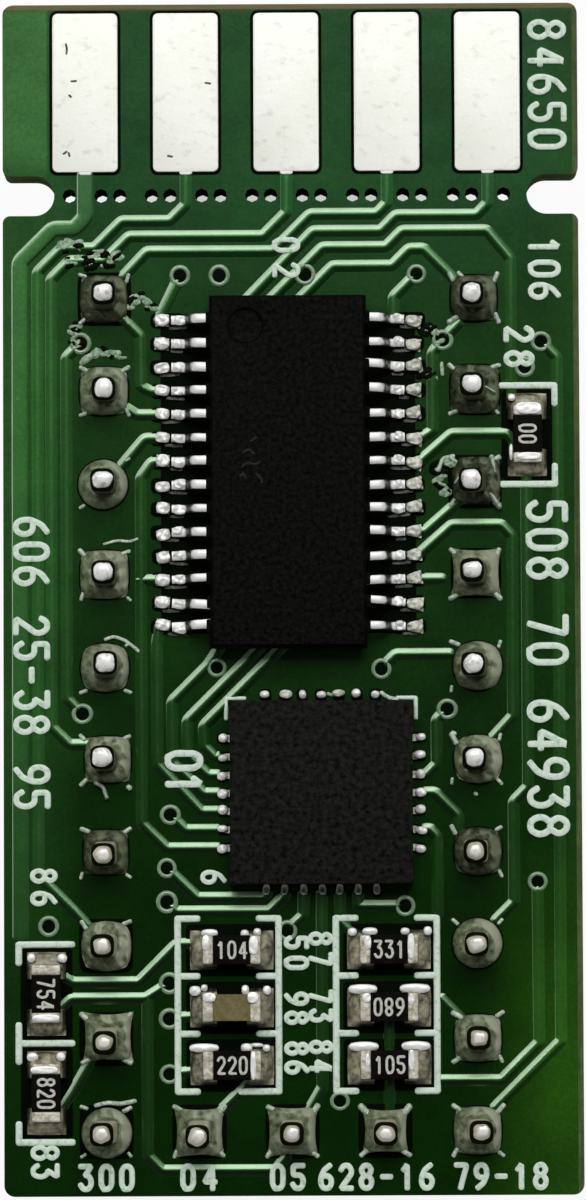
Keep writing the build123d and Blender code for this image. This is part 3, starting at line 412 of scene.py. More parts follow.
# Near-white leads: the tin's own brightness together with painted highlight
LEAD = make_solder("tinned_lead", (244, 244, 240), (255, 255, 253), (0.42, 0.58), 0.004, 0.3,
                   (0.42, 0.8, 0.5), 0.16, sheen=0.7)
FILLET = make_solder("land_solder", (74, 73, 52), (186, 181, 154), (0.3, 0.5), 0.016, 0.1,
                     (0.3, 0.85, 0.4), 0.22)
CAP = make_solder("tinned_end_cap", (142, 136, 106), (246, 242, 228), (0.32, 0.5), 0.014, 0.05,
                  (0.2, 0.75, 0.3), 0.16)
PIN = make_pin("tinned_pin", (188, 184, 164), (255, 255, 252), (0.25, 0.62, 0.35), (84, 86, 64))
LOW_PIN = make_pin("dull_tinned_pin", (226, 222, 208), (255, 255, 250), (0.7, 0.95, 0.15), (190, 184, 162))
# Name, two tones, roughness, grain, depth, specular, rim
# The driver's mould, with painted shade on its rounded edges
DRIVER = make_mould("driver_mould", (0, 0, 0), (22, 22, 20), (0.6, 0.82), 0.13, 0.012, 0.04, (1, 1, 1))
BRIDGE = make_mould("bridge_mould", (0, 0, 0), (36, 37, 33), (0.6, 0.82), 0.16, 0.012, 0.05)
HEADER = make_mould("header_moulding", (14, 14, 14), (26, 26, 27), (0.4, 0.6), 0.15, 0.01)
COAT = make_mould("resistor_coat", (4, 3, 2), (16, 14, 12), (0.45, 0.6), 0.2, 0.004, 0.04)
CERAMIC = make_mould("alumina_core", (176, 172, 158), (212, 208, 196), (0.4, 0.6), 0.1, 0.004)
TAN = make_mould("capacitor_ceramic", (98, 90, 54), (126, 116, 76), (0.35, 0.55), 0.12, 0.004)
CODE = make_mould("code_ink", (176, 178, 166), (222, 224, 212), (0.5, 0.7), 0.08, 0.003)
FAINT = make_mould("scuff", (12, 12, 10), (30, 30, 28), (0.6, 0.8), 0.08, 0.003)
CRUMB = make_mould("solder_crumb", (84, 118, 80), (186, 208, 182), (0.35, 0.5), 0.12, 0.01)
RESIDUE = make_mould("flux_residue", (120, 150, 118), (226, 238, 222), (0.3, 0.5), 0.1, 0.01)

# ---- Mesh tools, in millimetres


def offset(x, y=0.0, z=0.0):
    return Matrix.Translation((x, y, z))


def turned(degrees, axis="Z"):
    return Matrix.Rotation(radians(degrees), 4, axis)


def seat(x, y, turn=0.0, front=True, level=TOP):
    """Frame on the board's face: x along the part, y across it and z away from the board."""
    if front:
        return offset(x, y, level) @ turned(turn)
    return offset(x, y, BOTTOM) @ turned(turn) @ Matrix.Rotation(pi, 4, "X")


def meshes(count):
    return [bmesh.new() for _ in range(count)]


def skin(bm, rows):
    """Joins rows of points of equal count into a closed surface."""
    made = [[bm.verts.new(p) for p in row] for row in rows]
    count = len(rows[0])
    for lower, upper in zip(made, made[1:]):
        for i in range(count):
            j = (i + 1) % count
            bm.faces.new((lower[i], lower[j], upper[j], upper[i]))
    bm.faces.new(made[0][::-1])
    bm.faces.new(made[-1])


def rounded_corners(points, radius, steps=3):
    """A route with each corner replaced by a short curve."""
    points = [Vector(p) for p in points]
    route = [points[0]]
    for before, corner, after in zip(points, points[1:], points[2:]):
        back, ahead = before - corner, after - corner
        reach = min(radius, back.length / 2.1, ahead.length / 2.1)
        if reach < 1e-4:
            continue
        start = corner + back.normalized() * reach
        end = corner + ahead.normalized() * reach
        for k in range(steps + 1):
            t = k / steps
            route.append(start * (1 - t) ** 2 + corner * 2 * t * (1 - t) + end * t * t)
    route.append(points[-1])
    return route


def headings(route):
    """The direction of a route at each of its points."""
    last = len(route) - 1
    return [(route[min(i + 1, last)] - route[max(i - 1, 0)]).normalized() for i in range(last + 1)]


# Shares of a band's half width at which its round ends are drawn
END_STEPS = (0.15, 0.5, 0.8)


def ribbon(bm, points, width, height, place=seat(0, 0), crown=2.0, corner=0.18, sections=8):
    """A raised band with round ends along a flat route; crown 2 is a half ellipse, more is flatter."""
    route = rounded_corners(points, corner)
    half = width / 2
    stations = []
    for i, (point, heading) in enumerate(zip(route, headings(route))):
        stretch = 1.0
        if 0 < i < len(route) - 1:
            stretch = 1 / max(heading.dot((route[i + 1] - point).normalized()), 0.7)
        stations.append((point, heading, stretch, 1.0))
    ends = []
    for (point, heading, *_), side in ((stations[0], -1), (stations[-1], 1)):
        swells = [(1 - s, sqrt(1 - (1 - s) ** 2)) for s in END_STEPS]
        ends.append([(point + heading * side * half * out, heading, swell, swell) for out, swell in swells])
    rows = []
    for point, heading, stretch, lift in ends[0] + stations + ends[1][::-1]:
        across = Vector((-heading.y, heading.x))
        row = []
        for k in range(sections + 1):
            out = -cos(pi * k / sections)
            up = max(0.0, 1 - abs(out) ** crown) ** (1 / crown) * height * lift
            spot = point + across * out * half * stretch
            row.append(place @ Vector((spot.x, spot.y, up)))
        rows.append(row)
    skin(bm, rows)


def super_ring(half_x, half_y, power, steps=24, wobble=0.0, seed=0.0):
    """Points round a superellipse: power 2 is an ellipse and more is squarer; wobble makes it uneven."""
    ring = []
    for k in range(steps):
        angle = 2 * pi * (k + 0.5) / steps
        c, s = cos(angle), sin(angle)
        grow = (abs(c) ** power + abs(s) ** power) ** (-1 / power)
        grow *= 1 + wobble * noise.noise(Vector((c * 1.3, s * 1.3, seed)))
        ring.append((half_x * c * grow, half_y * s * grow))
    return ring


def sheet(place, ring, up):
    return [place @ Vector((x, y, up)) for x, y in ring]


def lathe(bm, x, y, profile, steps=28, squash=1.0):
    """A turned form about an upright axis; profile lists radius and height from the outside in."""
    angles = [2 * pi * k / steps for k in range(steps)]
    skin(bm, [sheet(seat(x, y), [(radius * cos(a), radius * sin(a) * squash) for a in angles], up)
              for radius, up in profile])


def loft(bm, place, rows, steps=24, wobble=0.0, seed=0.0):
    """A stack of superellipses: height, half sizes, power and an optional shift that can wobble."""
    sheets = []
    for up, half_x, half_y, power, *shift in rows:
        dx, dy = shift[0] if shift else (0, 0)
        ring = super_ring(half_x, half_y, power, steps, wobble if shift else 0.0, seed + up * 0.8)
        sheets.append(sheet(place, [(x + dx, y + dy) for x, y in ring], up))
    skin(bm, sheets)


def rounded_ring(half_x, half_y, radius, steps=5):
    """Points round a rectangle with round corners."""
    ring = []
    for quarter, (sx, sy) in enumerate(((1, 1), (-1, 1), (-1, -1), (1, -1))):
        for k in range(steps + 1):
            angle = pi / 2 * (quarter + k / steps)
            ring.append((sx * (half_x - radius) + radius * cos(angle),
                         sy * (half_y - radius) + radius * sin(angle)))
    return ring


def block(bm, place, size, edge, floor=0.0, corner=None):
    """A slab with softened edges that stands at floor; corner is its radius in plan."""
    half_x, half_y, height = size[0] / 2, size[1] / 2, size[2]
    corner = edge if corner is None else corner
    layers = [(floor, edge * 0.4), (floor + edge * 0.4, 0.0)]
    for t in (0.0, 0.3, 0.6, 0.85, 1.0):
        layers.append((floor + height - edge + edge * sin(pi / 2 * t), edge * (1 - cos(pi / 2 * t))))
    skin(bm, [sheet(place, rounded_ring(half_x - inset, half_y - inset, max(corner - inset, 0.01)), up)
              for up, inset in layers])


def mask_opening_shade(bm, place, length, width, corner, height=0.012, edge=0.004):
    """The mask's opening round a land, coloured near black: painted shade."""
    block(bm, place, (length, width, height), edge, corner=corner)


# Least height of a lump of solder
LOWEST = 0.02


def blob(bm, place, half_x, half_y, height, count, roundness, rough, grain, seed, flare=0.0):
    """A height field over a rounded patch, closed underneath; height takes x and y in the place's frame."""
    grid = []
    for i in range(count + 1):
        s = sin(pi / 2 * (2 * i / count - 1))
        line = []
        for j in range(count + 1):
            t = sin(pi / 2 * (2 * j / count - 1))
            x = half_x * s * sqrt(1 - roundness * t * t)
            y = half_y * t * sqrt(1 - roundness * s * s) * (1 + flare * s)
            up = 0.0
            if 0 < i < count and 0 < j < count:
                spot = Vector((x / grain + seed * 7.1, y / grain - seed * 3.7, seed * 1.3))
                up = max(LOWEST, height(x, y) + rough * noise.noise(spot))
            line.append(bm.verts.new(place @ Vector((x, y, up))))
        grid.append(line)
    for i in range(count):
        for j in range(count):
            bm.faces.new((grid[i][j], grid[i + 1][j], grid[i + 1][j + 1], grid[i][j + 1]))
    steps = range(count)
    rim = [grid[i][0] for i in steps] + [grid[count][j] for j in steps]
    rim += [grid[count - i][count] for i in steps] + [grid[0][count - j] for j in steps]
    bm.faces.new(rim[::-1])


def dome(x, y, half_x, half_y, height, power=0.5):
    """Height at x and y of an oval dome."""
    return height * max(0.0, 1 - (x / half_x) ** 2 - (y / half_y) ** 2) ** power


# How each kind of lump is drawn: points across, roundness in plan, roughness and its grain
LUMPS = {
    "foot": (18, 0.34, 0.06, 0.12),
    "beyond_foot": (18, 0.2, 0.07, 0.13),
    "toe": (20, 0.04, 0.08, 0.11),
    "streak": (12, 0.3, 0.03, 0.1),
    "terminal": (16, 0.36, 0.03, 0.12),
    "dented": (14, 0.4, 0.02, 0.1),
    "root": (10, 0.2, 0.03, 0.1),
    "fillet": (22, 0.06, 0.04, 0.2),
    "painted_glint": (16, 0.3, 0.02, 0.12),
    "crumb": (8, 0.45, 0.015, 0.06),
}


def mound(bm, place, half_x, half_y, base, cap, kind, seed, flare=0.0):
    """A blob under a dome; cap is the dome's half sizes, height and power."""
    blob(bm, place, half_x, half_y, lambda x, y: base + dome(x, y, *cap), *LUMPS[kind], seed, flare)


def slab(bm, place, half_x, half_y, height, kind, seed):
    """A flat uneven blob."""
    blob(bm, place, half_x, half_y, lambda x, y: height, *LUMPS[kind], seed)


def bar(bm, place, path, half_width, half_depth, radius, sections=12):
    """A strip with an oval section swept along a path of x and z in the place's frame."""
    route = rounded_corners(path, radius, 4)
    rows = []
    for point, heading in zip(route, headings(route)):
        normal = Vector((-heading.y, heading.x))
        spots = [(point + normal * d, w) for w, d in super_ring(half_width, half_depth, 3.4, sections)]
        rows.append([place @ Vector((spot.x, w, spot.y)) for spot, w in spots])
    skin(bm, rows)


def finish(bm, name, material, replaced=(), sharp=42):
    """Turns a mesh into a piece on the part."""
    bmesh.ops.recalc_face_normals(bm, faces=bm.faces)
    bmesh.ops.scale(bm, vec=(MM, MM, MM), verts=bm.verts)
    mesh = bpy.data.meshes.new(name)
    bm.to_mesh(mesh)
    bm.free()
    mesh.shade_smooth()
    mesh.set_sharp_from_angle(angle=radians(sharp))
    mesh.materials.append(material)
    piece = bpy.data.objects.new(name, mesh)
    bpy.context.scene.collection.objects.link(piece)
    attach(piece, "root")
    if replaced:
        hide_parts(*replaced)
    return piece


def soften(node, name, material, width, keep=lambda middle: True):
    """A copy of a CAD node with rounded edges, in its place; keep picks edges by their middle."""
    bm = bmesh.new()
    bm.from_mesh(NODES[node].data)
    bmesh.ops.scale(bm, vec=(1 / MM,) * 3, verts=bm.verts)
    bmesh.ops.remove_doubles(bm, verts=bm.verts, dist=1e-4)
    bmesh.ops.dissolve_limit(bm, angle_limit=0.02, verts=bm.verts, edges=bm.edges)
    edges = [edge for edge in bm.edges if edge.is_manifold and edge.calc_face_angle() > 0.3
             and keep((edge.verts[0].co + edge.verts[1].co) / 2)]
    bmesh.ops.bevel(bm, geom=edges, offset=width, segments=3, profile=0.5, affect="EDGES",
                    clamp_overlap=True)
    finish(bm, name, material, [node], 50)


def paint(node, material):
    """Gives a CAD node that stays another material."""
    mesh = NODES[node].data
    mesh.materials.clear()
    mesh.materials.append(material)


# ---- Board, tracks, vias and print

paint("circuit_board", MASK)

TRACK_WIDTH, TRACK_HEIGHT = 0.33, 0.055
SUPPLY_WIDTH, SUPPLY_HEIGHT = 0.46, 0.05
BACK_WIDTH, BACK_HEIGHT = 0.22, 0.04
LAND_REACH = 0.36
VIA_CLEARANCE = 0.25

LEAD_Y = [(low.y + high.y) / 2 for low, high in islands("driver_chip_left_leads")]
DRIVER_LOW, DRIVER_HIGH = cad_box("driver_chip_body")
BRIDGE_LOW, BRIDGE_HIGH = cad_box("bridge_chip_body")
DRIVER_X = (DRIVER_LOW.x + DRIVER_HIGH.x) / 2
BRIDGE_X, BRIDGE_Y = ((BRIDGE_LOW + BRIDGE_HIGH) / 2).xy
BRIDGE_HALF = (BRIDGE_HIGH.x - BRIDGE_LOW.x) / 2
TERMINAL_PITCH = 0.5
TERMINALS = [(k - 3) * TERMINAL_PITCH for k in range(7)]
TOES = {-1: cad_box("driver_chip_left_leads")[0].x, 1: cad_box("driver_chip_right_leads")[1].x}
CONTACT_BOXES = [cad_box(f"contact_pad_{number}") for number in range(1, 6)]


def lead_run(side, number, x=None):
    """A lead's land, and the point at x that is level with it if x is given."""
    y = LEAD_Y[number - 1]
    return [(TOES[side] + side * LAND_REACH, y)] + ([] if x is None else [(x, y)])


def terminal_run(side, number, x):
    """A side terminal's land and the point at x that is level with it."""
    y = BRIDGE_Y - TERMINALS[number - 1]
    return [(BRIDGE_X + side * (BRIDGE_HALF + LAND_REACH), y), (x, y)]


def foot_run(number, y, aside=0.0):
    """A lower terminal's land and the point at y below it."""
    x = BRIDGE_X + TERMINALS[number - 1]
    return [(x, BRIDGE_Y - BRIDGE_HALF - LAND_REACH + 0.1), (x + aside, y)]


def contact_drop(number, y):
    low, high = CONTACT_BOXES[number - 1]
    x = (low.x + high.x) / 2
    return [(x, CONTACT_BOXES[0][0].y - 0.06), (x, y)]


SUPPLY_ROUTE = contact_drop(1, 10.5) + [(-5.95, 10.17), (-6.54, 10.17), (-7.46, 9.25), (-7.46, -9.3)]
ROUTES = [
    contact_drop(2, 10.82) + [(-3.32, 10.38), (-4.65, 10.38), (-5.4, 9.63), (-6.31, 9.63), (-6.97, 8.97),
     (-6.97, -7.64), (-6.0, -8.6), (-5.13, -9.56)],
    contact_drop(3, 10.6) + [(-0.76, 9.95), (-4.45, 9.95), (-5.12, 9.28), (-6.09, 9.28), (-6.6, 8.77),
     (-6.6, -3.55), (-6.1, -4.05), (-5.6, -4.05)],
    contact_drop(4, 10.84) + [(2.37, 10.55), (0.54, 10.55), (-0.48, 9.53), (-3.96, 9.53), (-4.6, 8.85)],
    contact_drop(5, 10.83) + [(5.12, 10.51), (2.9, 10.51), (2.48, 10.08), (0.62, 10.08), (-1.3, 8.1),
     (-1.3, 7.7)],
    [(-0.7, 7.7), (-0.7, 8.05), (0.88, 9.63), (2.62, 9.63), (3.07, 10.08), (5.4, 10.08), (6.05, 9.3),
     (6.05, 5.2)],
    [(0.1, 7.7), (0.1, 8.05), (1.16, 9.11), (2.79, 9.11), (3.26, 9.58), (3.66, 9.58), (4.55, 8.69)],
    [(-3.05, 8.86), *lead_run(-1, 1)],
    [(3.46, 8.88), (2.83, 8.25), (2.83, LEAD_Y[0])],
    [(-5.79, 7.0), (-6.18, 6.61), (-6.18, -2.78), (-5.76, -3.2)],
    [(-4.6, 7.66), (-4.14, 7.2), (-4.14, 5.8), *lead_run(-1, 4, -3.88)[::-1]],
    [(-4.6, 5.24), *lead_run(-1, 5, -4.25)[::-1]],
    [(-4.7, 3.57), *lead_run(-1, 6, -4.03)[::-1]],
    [*lead_run(-1, 7, -3.84), (-4.14, 3.29), (-4.14, -6.21), *terminal_run(-1, 7, -3.45)[::-1]],
    [*lead_run(-1, 12, -4.14)],
    [*lead_run(-1, 14), (-3.71, -1.3), (-3.71, -4.6), *terminal_run(-1, 5, -2.5)[::-1]],
    [(4.17, 7.05), (3.89, 6.7), (3.89, 4.55), *lead_run(1, 6, 3.6)[::-1]],
    [(4.6, 7.5), (4.17, 7.05)],
    [*lead_run(1, 7, 3.55), (4.4, 4.46), (5.92, 4.46), (6.1, 4.25), (6.1, 3.9)],
    [*lead_run(1, 10, 3.65), (4.6, 2.6)],
    [*lead_run(1, 11, 3.45), (4.4, 1.95), (5.75, 1.95), (6.05, 1.65), (6.05, -3.3), (5.5, -3.9)],
    [*lead_run(1, 12, 4.1)],
    [(2.44, -2.0), (2.83, -1.6), (4.3, -1.6)],
    [(6.87, 7.0), (7.31, 6.56), (7.31, -12.2), (5.5, -14.01)],
    [(-1.9, -1.25), (-2.3, -1.87), (-3.3, -2.87), (-3.3, -4.54), *terminal_run(-1, 4, -2.44)[::-1]],
    [(-0.8, -1.31), (-2.88, -3.39), (-2.88, -4.34), *terminal_run(-1, 3, -2.32)[::-1]],
    [(-0.2, -1.31), (-2.43, -3.54), (-2.43, -4.1), *terminal_run(-1, 2, -2.13)[::-1]],
    [(-3.36, -5.98), *terminal_run(-1, 6, -2.94)[::-1]],
    [*terminal_run(1, 3, 3.67), (3.95, -4.62), (3.95, -3.4), (4.24, -3.11)],
    [*terminal_run(1, 4, 3.9), (4.53, -6.03), (4.53, -6.5)],
    [*terminal_run(1, 6, 3.75), (3.95, -6.6), (3.95, -8.72)],
    [(-3.46, -7.44), (-2.62, -8.26), *foot_run(1, -8.26, -0.1)[::-1]],
    [(-3.46, -8.37), (-3.2, -8.63), (-0.66, -8.63), *foot_run(2, -8.2)[::-1]],
    [*foot_run(3, -8.75), (-0.17, -9.16)],
    [*foot_run(4, -13.45), (0.4, -14.1)],
    [*foot_run(5, -8.92), (1.6, -9.24)],
    [*foot_run(6, -8.5), (3.06, -8.5)],
    [(6.45, 3.4), (6.45, -5.25), (6.05, -5.65), (6.05, -8.4), (5.55, -8.9)],
    [(6.69, -7.85), (6.71, -12.24), (5.68, -13.27), (4.04, -13.27)],
    [(4.04, -11.05), (4.6, -11.61)],
    [(-6.76, -10.1), (-6.16, -10.48), (-6.04, -10.56), (-4.24, -10.56), (-3.2, -9.52), (-2.7, -9.52)],
    [(-6.76, -11.6), (-6.5, -11.4), (-6.1, -11.0), (-4.05, -11.0), (-3.4, -10.59)],
    [(-4.0, -11.0), (-4.0, -15.3), (-3.6, -15.7), (-0.5, -15.7), (-0.2, -15.3)],
    [(-5.5, -12.6), (-6.02, -13.5), (-6.4, -14.1)],
    [(-3.4, -11.56), (-2.7, -11.5)],
    [(-3.4, -13.07), (-2.7, -13.0)],
    [(-1.1, -13.18), (-2.0, -14.08)],
    [(2.61, -11.26), (2.61, -14.1)],
]
# Rear tracks from the contacts: the y where each turns, its column, the y where it straightens and its foot
BACK_LANES = [
    (9.9, -3.0, 8.65, -2.2), (8.3, -2.3, 7.5, -3.4), (8.3, 2.5, 7.1, -3.4), (10.1, 3.2, 8.72, -2.2),
]


def clear_of_vias(route, vias):
    """A route whose ends stop at a via's ring."""
    route = [Vector(p) for p in route]
    for end, inner in ((0, 1), (-1, -2)):
        if any((route[end] - via).length < 0.1 for via in vias):
            leg = route[inner] - route[end]
            route[end] = route[end] + leg.normalized() * min(VIA_CLEARANCE, leg.length * 0.9)
    return route


def make_tracks():
    vias = [((low + high) / 2).xy for low, high in islands("via_lands")]
    front, back = meshes(2)
    ribbon(front, SUPPLY_ROUTE, SUPPLY_WIDTH, SUPPLY_HEIGHT, crown=3.5, corner=0.12)
    for route in ROUTES:
        ribbon(front, clear_of_vias(route, vias), TRACK_WIDTH, TRACK_HEIGHT, crown=1.15, corner=0.08,
               sections=10)
    finish(front, "front_track_bands", TRACK, ["front_tracks"], 60)
    for number, (drop, x, y, foot) in enumerate(BACK_LANES, start=6):
        low, high = cad_box(f"back_contact_pad_{number}")
        middle = (low.x + high.x) / 2
        flipped = [(middle, -low.y - 0.1), (middle, -drop), (x, -y), (x, -foot)]
        ribbon(back, flipped, BACK_WIDTH, BACK_HEIGHT, seat(0, 0, front=False))
    finish(back, "back_track_bands", TRACK, ["back_tracks"], 60)


# Radius and height of a via's ring and of its drilling, a dark disc of painted shade, from the outside in
VIA_RING = [(0.29, 0.0), (0.28, 0.035), (0.24, 0.054), (0.205, 0.05), (0.18, 0.034), (0.172, 0.0)]
VIA_DRILLING = [(0.18, 0.0), (0.18, 0.032), (0.12, 0.034)]


def make_vias():
    rings, holes = meshes(2)
    draw = random.Random(5)
    for low, high in islands("via_lands"):
        middle = (low + high) / 2
        scale = draw.uniform(0.94, 1.06)
        sized = [(radius * scale, up) for radius, up in VIA_RING]
        lathe(rings, middle.x, middle.y, sized, squash=draw.uniform(0.95, 1.05))
        lathe(holes, middle.x, middle.y, VIA_DRILLING, steps=20)
    finish(rings, "via_rings", VIA, ["via_lands"], 70)
    finish(holes, "via_drillings", PAINTED_HOLE_SHADE)


# Printed ladders round the small parts: column middles, half width, rung heights and length of a rung
LADDER_X = (-1.79, 2.54)
LADDER_HALF = 1.38
LADDER_RUNGS = [-9.69 + 0.86 - row * 1.575 for row in range(4)]
RUNG, LONG_RUNG = 0.54, 1.05
# Printed brackets round the parts that stand on end
EDGE_X = (-7.52, -6.06)
EDGE_RUNGS = (-9.52, -12.22, -14.92)
RIGHT_X = (5.78, 7.24)
RIGHT_MIDDLE, RIGHT_HALF = 4.42, 1.36
HOOK = 0.5


def print_lines():
    """The printed outlines round the small parts, as pairs of end points."""
    lines = []
    for box_x in LADDER_X:
        for end in (-1, 1):
            edge = box_x + end * LADDER_HALF
            lines.append(((edge, LADDER_RUNGS[0]), (edge, LADDER_RUNGS[-1])))
            for rung in LADDER_RUNGS:
                long = box_x < 0 < end and rung == LADDER_RUNGS[-1]
                lines.append(((edge, rung), (edge - end * (LONG_RUNG if long else RUNG), rung)))
    for rung in EDGE_RUNGS:
        lines.append(((EDGE_X[0], rung), (EDGE_X[1], rung)))
    for upper, lower in zip(EDGE_RUNGS, EDGE_RUNGS[1:]):
        lines.append(((EDGE_X[0], upper), (EDGE_X[0], upper - HOOK)))
        lines.append(((EDGE_X[0], lower), (EDGE_X[0], lower + HOOK)))
    for end in (-1, 1):
        rung = RIGHT_MIDDLE + end * RIGHT_HALF
        lines.append(((RIGHT_X[0], rung), (RIGHT_X[1], rung)))
        lines.append(((RIGHT_X[1], rung), (RIGHT_X[1], rung - end * HOOK)))
    return lines


# The digits' strokes, in a cell 1 wide and GLYPH_HEIGHT high
GLYPH_HEIGHT = 1.5
GLYPHS = {
    "0": [
        [(0.25, 0), (0, 0.3), (0, 1.2), (0.25, 1.5), (0.75, 1.5), (1, 1.2), (1, 0.3), (0.75, 0),
            (0.25, 0)],
    ],
    "1": [[(0.2, 1.2), (0.55, 1.5), (0.55, 0)]],
    "2": [[(0, 1.2), (0.25, 1.5), (0.75, 1.5), (1, 1.2), (1, 0.95), (0, 0), (1, 0)]],
    "3": [
        [(0, 1.5), (1, 1.5), (0.45, 0.9), (0.75, 0.9), (1, 0.62), (1, 0.28), (0.75, 0), (0.25, 0),
            (0, 0.28)],
    ],
    "4": [[(0.75, 0), (0.75, 1.5), (0, 0.45), (1, 0.45)]],
    "5": [
        [(1, 1.5), (0.05, 1.5), (0.05, 0.88), (0.75, 0.88), (1, 0.62), (1, 0.28), (0.75, 0), (0.25, 0),
            (0, 0.28)],
    ],
    "6": [
        [(0.85, 1.5), (0.3, 1.2), (0, 0.7), (0, 0.28), (0.25, 0), (0.75, 0), (1, 0.28), (1, 0.56),
            (0.75, 0.82), (0.1, 0.82)],
    ],
    "7": [[(0, 1.5), (1, 1.5), (0.4, 0)]],
    "8": [
        [(0.3, 0.82), (0, 0.56), (0, 0.28), (0.25, 0), (0.75, 0), (1, 0.28), (1, 0.56), (0.7, 0.82),
            (0.95, 1.1), (0.95, 1.25), (0.72, 1.5), (0.28, 1.5), (0.05, 1.25), (0.05, 1.1), (0.3, 0.82),
            (0.7, 0.82)],
    ],
    "9": [
        [(0.9, 0.68), (0.25, 0.68), (0, 0.94), (0, 1.22), (0.25, 1.5), (0.75, 1.5), (1, 1.22), (1, 0.8),
            (0.7, 0.3), (0.15, 0)],
    ],
    "-": [[(0.1, 0.75), (0.9, 0.75)]],
}


def write_number(bm, digits, place, height, stroke, advance, rise, width=0.6, lift=0.0):
    """Stroked digits from the place's origin, along its x."""
    for index, digit in enumerate(digits):
        start = index * advance
        for line in GLYPHS.get(digit, []):
            points = [(start + x * width * height, y / GLYPH_HEIGHT * height) for x, y in line]
            ribbon(bm, points, stroke, rise, place @ offset(0, 0, lift), 4.0, 0.1 * height, 6)


# Generic numbers in the places of the print: digits, start corner, turn, height, advance, stroke
LABELS = [
    ("84650", 6.62, 15.84, -90, 0.92, 0.76, 0.17),
    ("106", 6.6, 9.8, -90, 0.76, 0.62, 0.16),
    ("02", -0.44, 9.84, -90, 0.64, 0.7, 0.15),
    ("28", 5.92, 7.36, -90, 0.7, 0.68, 0.17),
    ("508 70 64938", 6.5, 2.54, -90, 1.0, 0.785, 0.19),
    ("606 25-38 95", -7.58, 2.14, -90, 0.86, 0.68, 0.18),
    ("01", -3.42, -4.3, -90, 0.88, 0.62, 0.2),
    ("86", -7.14, -7.5, -90, 0.62, 0.62, 0.15),
    ("83", -7.14, -15.05, -90, 0.66, 0.5, 0.15),
    ("6", -2.48, -7.56, -90, 0.6, 0.5, 0.14),
    ("50", -0.2, -9.36, -90, 0.56, 0.56, 0.15),
    ("87", 0.46, -9.26, -90, 0.56, 0.56, 0.15),
    ("98", -0.2, -10.9, -90, 0.56, 0.52, 0.15),
    ("73", 0.46, -10.84, -90, 0.56, 0.52, 0.15),
    ("86", -0.2, -12.26, -90, 0.56, 0.52, 0.15),
    ("84", 0.46, -12.22, -90, 0.56, 0.52, 0.15),
    ("300", -5.84, -16.2, 0, 0.62, 0.56, 0.16),
    ("04", -3.05, -16.2, 0, 0.62, 0.6, 0.16),
    ("05", -0.6, -16.2, 0, 0.62, 0.55, 0.16),
    ("628-16", 0.72, -16.2, 0, 0.62, 0.55, 0.16),
    ("79-18", 4.42, -16.2, 0, 0.62, 0.54, 0.16),
]
PRINT_HEIGHT = 0.075
LABEL_WIDTH = 0.46
# The bridge chip's corner marks: distance from its body, length across and length down
CORNER_MARK = (0.1, 0.5, 0.55)


def make_print():
    outlines, numbers = meshes(2)
    for line in print_lines():
        ribbon(outlines, line, 0.19, PRINT_HEIGHT, crown=3.0)
    away, across, down = CORNER_MARK
    for end in (-1, 1):
        x, y = BRIDGE_X + end * (BRIDGE_HALF + away), BRIDGE_Y + BRIDGE_HALF + away
        mark = [(x - end * across, y), (x, y), (x, y - down)]
        ribbon(outlines, mark, 0.12, 0.07, corner=0.03, sections=6)
    finish(outlines, "legend_outlines", INK, ["legend_print"], 50)
    for digits, x, y, turn, height, advance, stroke in LABELS:
        write_number(numbers, digits, seat(x, y, turn), height, stroke, advance, PRINT_HEIGHT, LABEL_WIDTH)
    finish(numbers, "legend_numbers", INK, sharp=50)


CONTACT_HEIGHT, CONTACT_EDGE = 0.066, 0.02
CONTACT_NECK = (0.36, 0.16, 0.06)
CONTACT_BORDER = 0.16
# Small dark wear marks on the edge contacts
CONTACT_MARKS = [
    [(-6.17, 15.28), (-6.14, 15.14), (-6.16, 15.02)], [(-6.02, 14.25), (-5.9, 14.26)],
    [(-6.08, 13.86), (-6.04, 13.82)], [(-6.16, 12.3), (-6.24, 12.24)], [(-6.1, 12.26), (-6.08, 12.18)],
    [(-2.32, 14.19), (-2.2, 14.17)], [(-3.36, 12.17), (-3.26, 12.15)],
]


def make_contacts():
    shade_rims, marks = meshes(2)
    for number in range(1, 10):
        front = number < 6
        name = f"contact_pad_{number}" if front else f"back_contact_pad_{number}"
        low, high = cad_box(name)
        middle, size = (low + high) / 2, high - low
        place = seat(middle.x, middle.y, front=front)
        bm = bmesh.new()
        block(bm, place, (size.x, size.y, CONTACT_HEIGHT), CONTACT_EDGE, corner=0.15)
        neck = place @ offset(0, -size.y / 2 if front else size.y / 2)
        block(bm, neck, CONTACT_NECK, CONTACT_EDGE, corner=0.07)
        finish(bm, f"levelled_{name}", CONTACT, [name], 50)
        # Near-black rim round each contact: painted shade
        mask_opening_shade(shade_rims, place, size.x + CONTACT_BORDER, size.y + CONTACT_BORDER, 0.2)
    for points in CONTACT_MARKS:
        ribbon(marks, points, 0.065, 0.01, seat(0, 0, level=TOP + 0.064), sections=4)
    finish(shade_rims, "contact_painted_shade", PAINTED_GAP_SHADE)
    finish(marks, "contact_wear_marks", STREAK)


# ---- Chips

# The driver chip's leads: half thickness of a lead, run of the bend, and foot's length to the toe
LEAD_HALF = 0.068
LEAD_BEND = 0.22
LEAD_FOOT = 0.4
# Distances of the first pin's ring from the driver chip's side and end, its radius and line
INDEX_FROM_SIDE, INDEX_FROM_END, INDEX_RADIUS = 1.0, 0.85, 0.49
FAINT_LINE = 0.06
# Faint scratches on the driver chip
DRIVER_MARKS = [
    [(-1.3, 3.9), (-1.16, 3.98), (-1.02, 3.86)],
    [(-1.34, 3.5), (-1.2, 3.62), (-1.0, 3.55), (-0.86, 3.62)],
    [(-1.4, 3.24), (-1.3, 3.32), (-1.26, 3.2)], [(-0.96, 3.3), (-0.84, 3.2), (-0.8, 3.06)],
    [(-1.1, 4.2), (-0.96, 4.3)],
]


